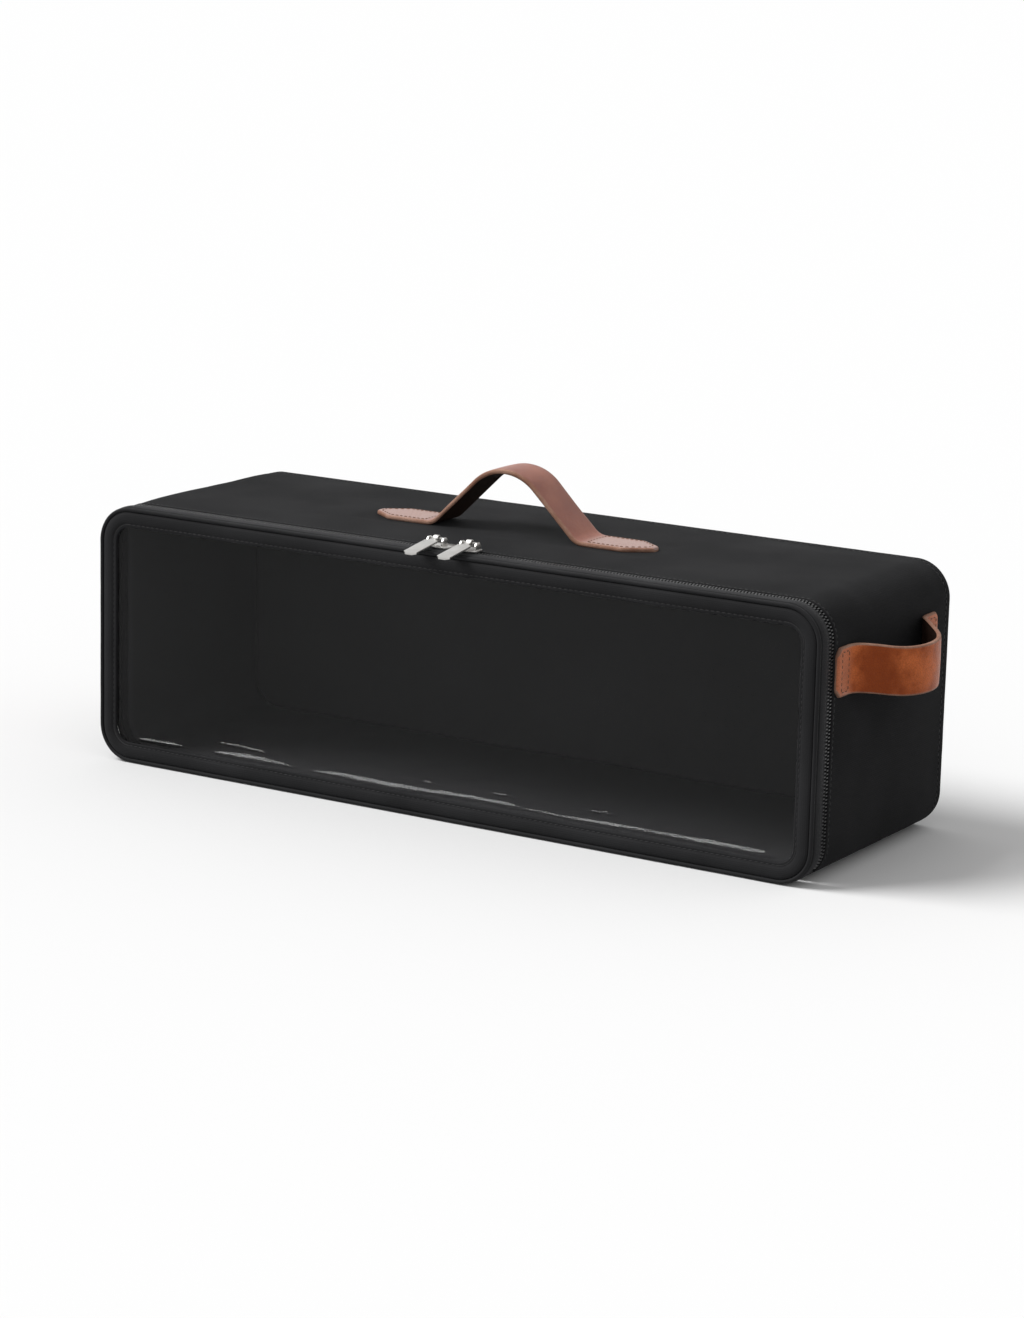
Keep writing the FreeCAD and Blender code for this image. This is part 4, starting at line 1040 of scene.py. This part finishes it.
def strap(name, seat, kind):
    """One strip of leather from tip to tip, with rounded edges and a slightly crowned face."""
    size = STRAPS[kind]
    line, total = strap_line(kind)
    at = strap_place(seat)
    ends = [0.0, 0.25, 0.7, TIP]
    line = [p for p in line if 1.6 < p[3] < total - 1.6]
    line = [(-size["tip"] + t, 0.0, 0.0, t) for t in ends] + line
    line += [(size["tip"] - t, 0.0, 0.0, total - t) for t in reversed(ends)]
    sections, us = [], []
    for a, h, slope, t in line:
        full = math.sqrt(max(0.0, 1 - (1 - min(t, total - t, TIP) / TIP) ** 2))  # 0 at a tip's end
        half = strap_half_width(kind, t, total) - 0.9 * (1 - full)
        half += 0.12 * cloud(t, 0, 0, 24, 2.0 if seat == "top" else 6.0)
        wave = 0.16 * cloud(t, 3, 0, 18, 4.0 if seat == "left" else 8.0) * smooth(2, 8, h)
        sag = 0.0 if seat == "top" else DROOP * smooth(1.5, size["rise"], h)

        def put(c, lift):
            lift += wave if lift > 0.1 else 0.0
            return at(a - math.sin(slope) * lift, c - sag, h + math.cos(slope) * lift)

        sections.append(strap_section(put, half, STRAP_T * (0.42 + 0.58 * full), 0.22 * full))
        us.append(t * MM)
    face, right, left, under = zip(*sections)
    piece = Piece()
    width = STRAP_W / 2 - EDGE
    piece.grid(face, us, [c * MM for c in even(-width, 2 * width, FACE_PARTS)])
    piece.grid(right, us, [(width + 0.5 * k) * MM for k in range(6)], index=1)
    piece.grid(left, us, [(-width - 2.5 + 0.5 * k) * MM for k in range(6)], index=1)
    piece.grid(under, us, [0.013, 0.0065, 0.0, -0.0065, -0.013], index=2)
    for end in (0, -1):
        loop = face[end] + right[end][1:] + under[end][1:-1] + left[end][:-1]
        first = piece.add_points(loop)
        piece.add_face([first + k for k in range(len(loop))], [(0.0, 0.0)] * len(loop), index=1)
    nodes = [f"{seat}_handle_ends", f"{seat}_handle_strap"]
    thing = piece.make(name, FACE_LEATHER[kind], None, nodes)
    thing.data.materials.append(strap_edge)
    thing.data.materials.append(strap_back)
    with editing(thing.data) as work:
        bmesh.ops.remove_doubles(work, verts=work.verts, dist=2e-6)
        bmesh.ops.recalc_face_normals(work, faces=work.faces)
    low, high = 2.4, 17.0  # heights above the seat, made into two points below that nothing uses
    if seat == "top":
        start, end = (0, 0, (HEIGHT + low) * MM), (0, 0, (HEIGHT + high) * MM)
    else:
        sign = 1 if seat == "right" else -1
        start, end = (sign * (HALF_WIDTH + low) * MM, 0, 0), (sign * (HALF_WIDTH + high) * MM, 0, 0)
    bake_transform(thing)
    strap_stitches(name, kind, at, total)


def strap_stitches(name, kind, at, total):
    """Two rows along each foot, one across its tip and one just before the strap bends up."""
    size = STRAPS[kind]
    piece = Piece()
    lift = STRAP_T + 0.1
    start, far, inset, pitch = 3.2, size["tip"] - size["foot"] - 1.5, 2.6, 3.0
    full = size["taper"]
    tip_c = strap_half_width(kind, start, total) - inset
    foot_c = strap_half_width(kind, full + 1, total) - inset
    for end in (-1, 1):
        samples = []

        def sample(a, c, da, dc):
            """A stitch at (a, c) that runs along (da, dc)."""
            p = Vector(at(end * a, c, lift))
            q = Vector(at(end * (a + da), c + dc, lift))
            up = Vector(at(end * a, c, lift + 1)) - p
            samples.append((p, q - p, up))

        for side in (-1, 1):
            line = [(start, tip_c * side), (max(full, start + 0.1), foot_c * side), (far, foot_c * side)]
            for (t0, p0), (t1, p1) in zip(line, line[1:]):
                length = math.hypot(t1 - t0, p1 - p0)
                count = round(length / pitch)
                for i in range(count):
                    f = (i + 0.5) / count
                    sample(size["tip"] - (t0 + (t1 - t0) * f), p0 + (p1 - p0) * f, t0 - t1, p1 - p0)
        for t, c in ((start, tip_c), (far, foot_c)):
            count = round(2 * c / pitch)
            for i in range(count):
                sample(size["tip"] - t, -c + (i + 0.5) * 2 * c / count, 0, 1)
        stitch_row(piece, samples, length=2.1, width=0.6, height=0.3)
    piece.make(f"{name}_stitching", brown_thread, "case")


# Seams

def sunk(z, depth):
    """Stitches on the underside lie in the cloth, above the surface that the box stands on."""
    return depth + 0.33 * smooth(1.5, 0.2, z)


def seams():
    """Topstitching beside the zip and the back edge."""
    for name, body, rows in (
            ("case_stitching", "case", ((U_START, U_END, WALL_SEAM), (0, ROUND, BACK_SEAM))),
            ("flap_stitching", "front_flap", ((U_START, U_END, RIM_SEAM),))):
        piece = Piece()
        for start, end, y in rows:
            stitch_row(piece, outline_stitches(start, end, 0.12, y, on=sunk))
        piece.make(name, black_thread, body)


# Build

case_cover()
back_panel()
welt("back_welt", 73.9, "case", "back_piping")
welt("front_welt", -73.9, "front_flap", "flap_piping")
binding()
tape("case_tape", -61.1, -54.0, "case", "case_zip_tape")
tape("flap_tape", -72.4, -62.9, "front_flap", "flap_zip_tape")
lining()
hinge()
zip_parts()
sliders()
flap_rim()
window_frame()
window()
seams()
strap("carry_strap", "top", "top")
strap("right_strap", "right", "side")
strap("left_strap", "left", "side")

for board in ("sleeve_board", "back_board"):
    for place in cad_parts[board].material_slots:
        place.material = grey_board


# Floor, light, camera

def seen(tree):
    """1 for what the camera, a mirror or clear glass sees."""
    path = tree.nodes.new("ShaderNodeLightPath")
    found = path.outputs["Is Camera Ray"]
    for ray in ("Is Glossy Ray", "Is Transmission Ray"):
        either = tree.nodes.new("ShaderNodeMath")
        either.operation = "MAXIMUM"
        tree.links.new(found, either.inputs[0])
        tree.links.new(path.outputs[ray], either.inputs[1])
        found = either.outputs[0]
    return found


def floor():
    """A wide pale floor just below the box. It is darker for bounced light than for the camera."""
    mesh = bpy.data.meshes.new("floor")
    reach, z = 40.0, -0.0004
    corners = [(-reach, -reach, z), (reach, -reach, z), (reach, reach, z), (-reach, reach, z)]
    mesh.from_pydata(corners, [], [(0, 1, 2, 3)])
    thing = new_object("floor", mesh)
    n = Nodes("floor")
    n.tree.nodes.remove(n.shader)
    tone = n.mix(seen(n.tree), (0.36, 0.36, 0.36, 1), (0.83, 0.83, 0.83, 1))
    diffuse = n.add("ShaderNodeBsdfDiffuse", {"Color": tone})
    n.tree.links.new(diffuse.outputs[0], n.tree.nodes["Material Output"].inputs[0])
    mesh.materials.append(n.material)


def light():
    """An even white surround, dimmer for bounced light than for the camera, and a broad sun."""
    world = bpy.data.worlds.new("studio")
    bpy.context.scene.world = world
    world.use_nodes = True
    tree = world.node_tree
    level = tree.nodes.new("ShaderNodeMapRange")
    tree.links.new(seen(tree), level.inputs[0])
    level.inputs["To Min"].default_value = 0.55
    level.inputs["To Max"].default_value = 1.0
    background = tree.nodes["Background"]
    background.inputs[0].default_value = (1, 1, 1, 1)
    tree.links.new(level.outputs[0], background.inputs[1])
    lamp = bpy.data.lights.new("key", "SUN")
    lamp.energy = 2.7
    lamp.angle = math.radians(30)
    thing = new_object("key", lamp)
    thing.rotation_mode = "QUATERNION"
    thing.rotation_quaternion = Vector((-0.55, -0.35, 0.75)).to_track_quat("Z", "Y")


def camera():
    """The photo's camera, found from the proportions of the box in it."""
    lens = bpy.data.cameras.new("camera")
    thing = new_object("camera", lens)
    place, aim = Vector((1.048, -1.711, 0.530)), Vector((0.0, 0.0, 0.0745))
    lens.sensor_width = 36.0
    lens.lens = 103.0
    lens.clip_start, lens.clip_end = 0.05, 200.0
    turn = (aim - place).to_track_quat("-Z", "Y").to_matrix().to_4x4()
    thing.matrix_world = Matrix.Translation(place) @ turn @ Matrix.Rotation(math.radians(1.4), 4, "Z")
    bpy.context.scene.camera = thing


floor()
light()
camera()
bpy.context.scene.view_settings.view_transform = "Standard"
bpy.context.view_layer.update()
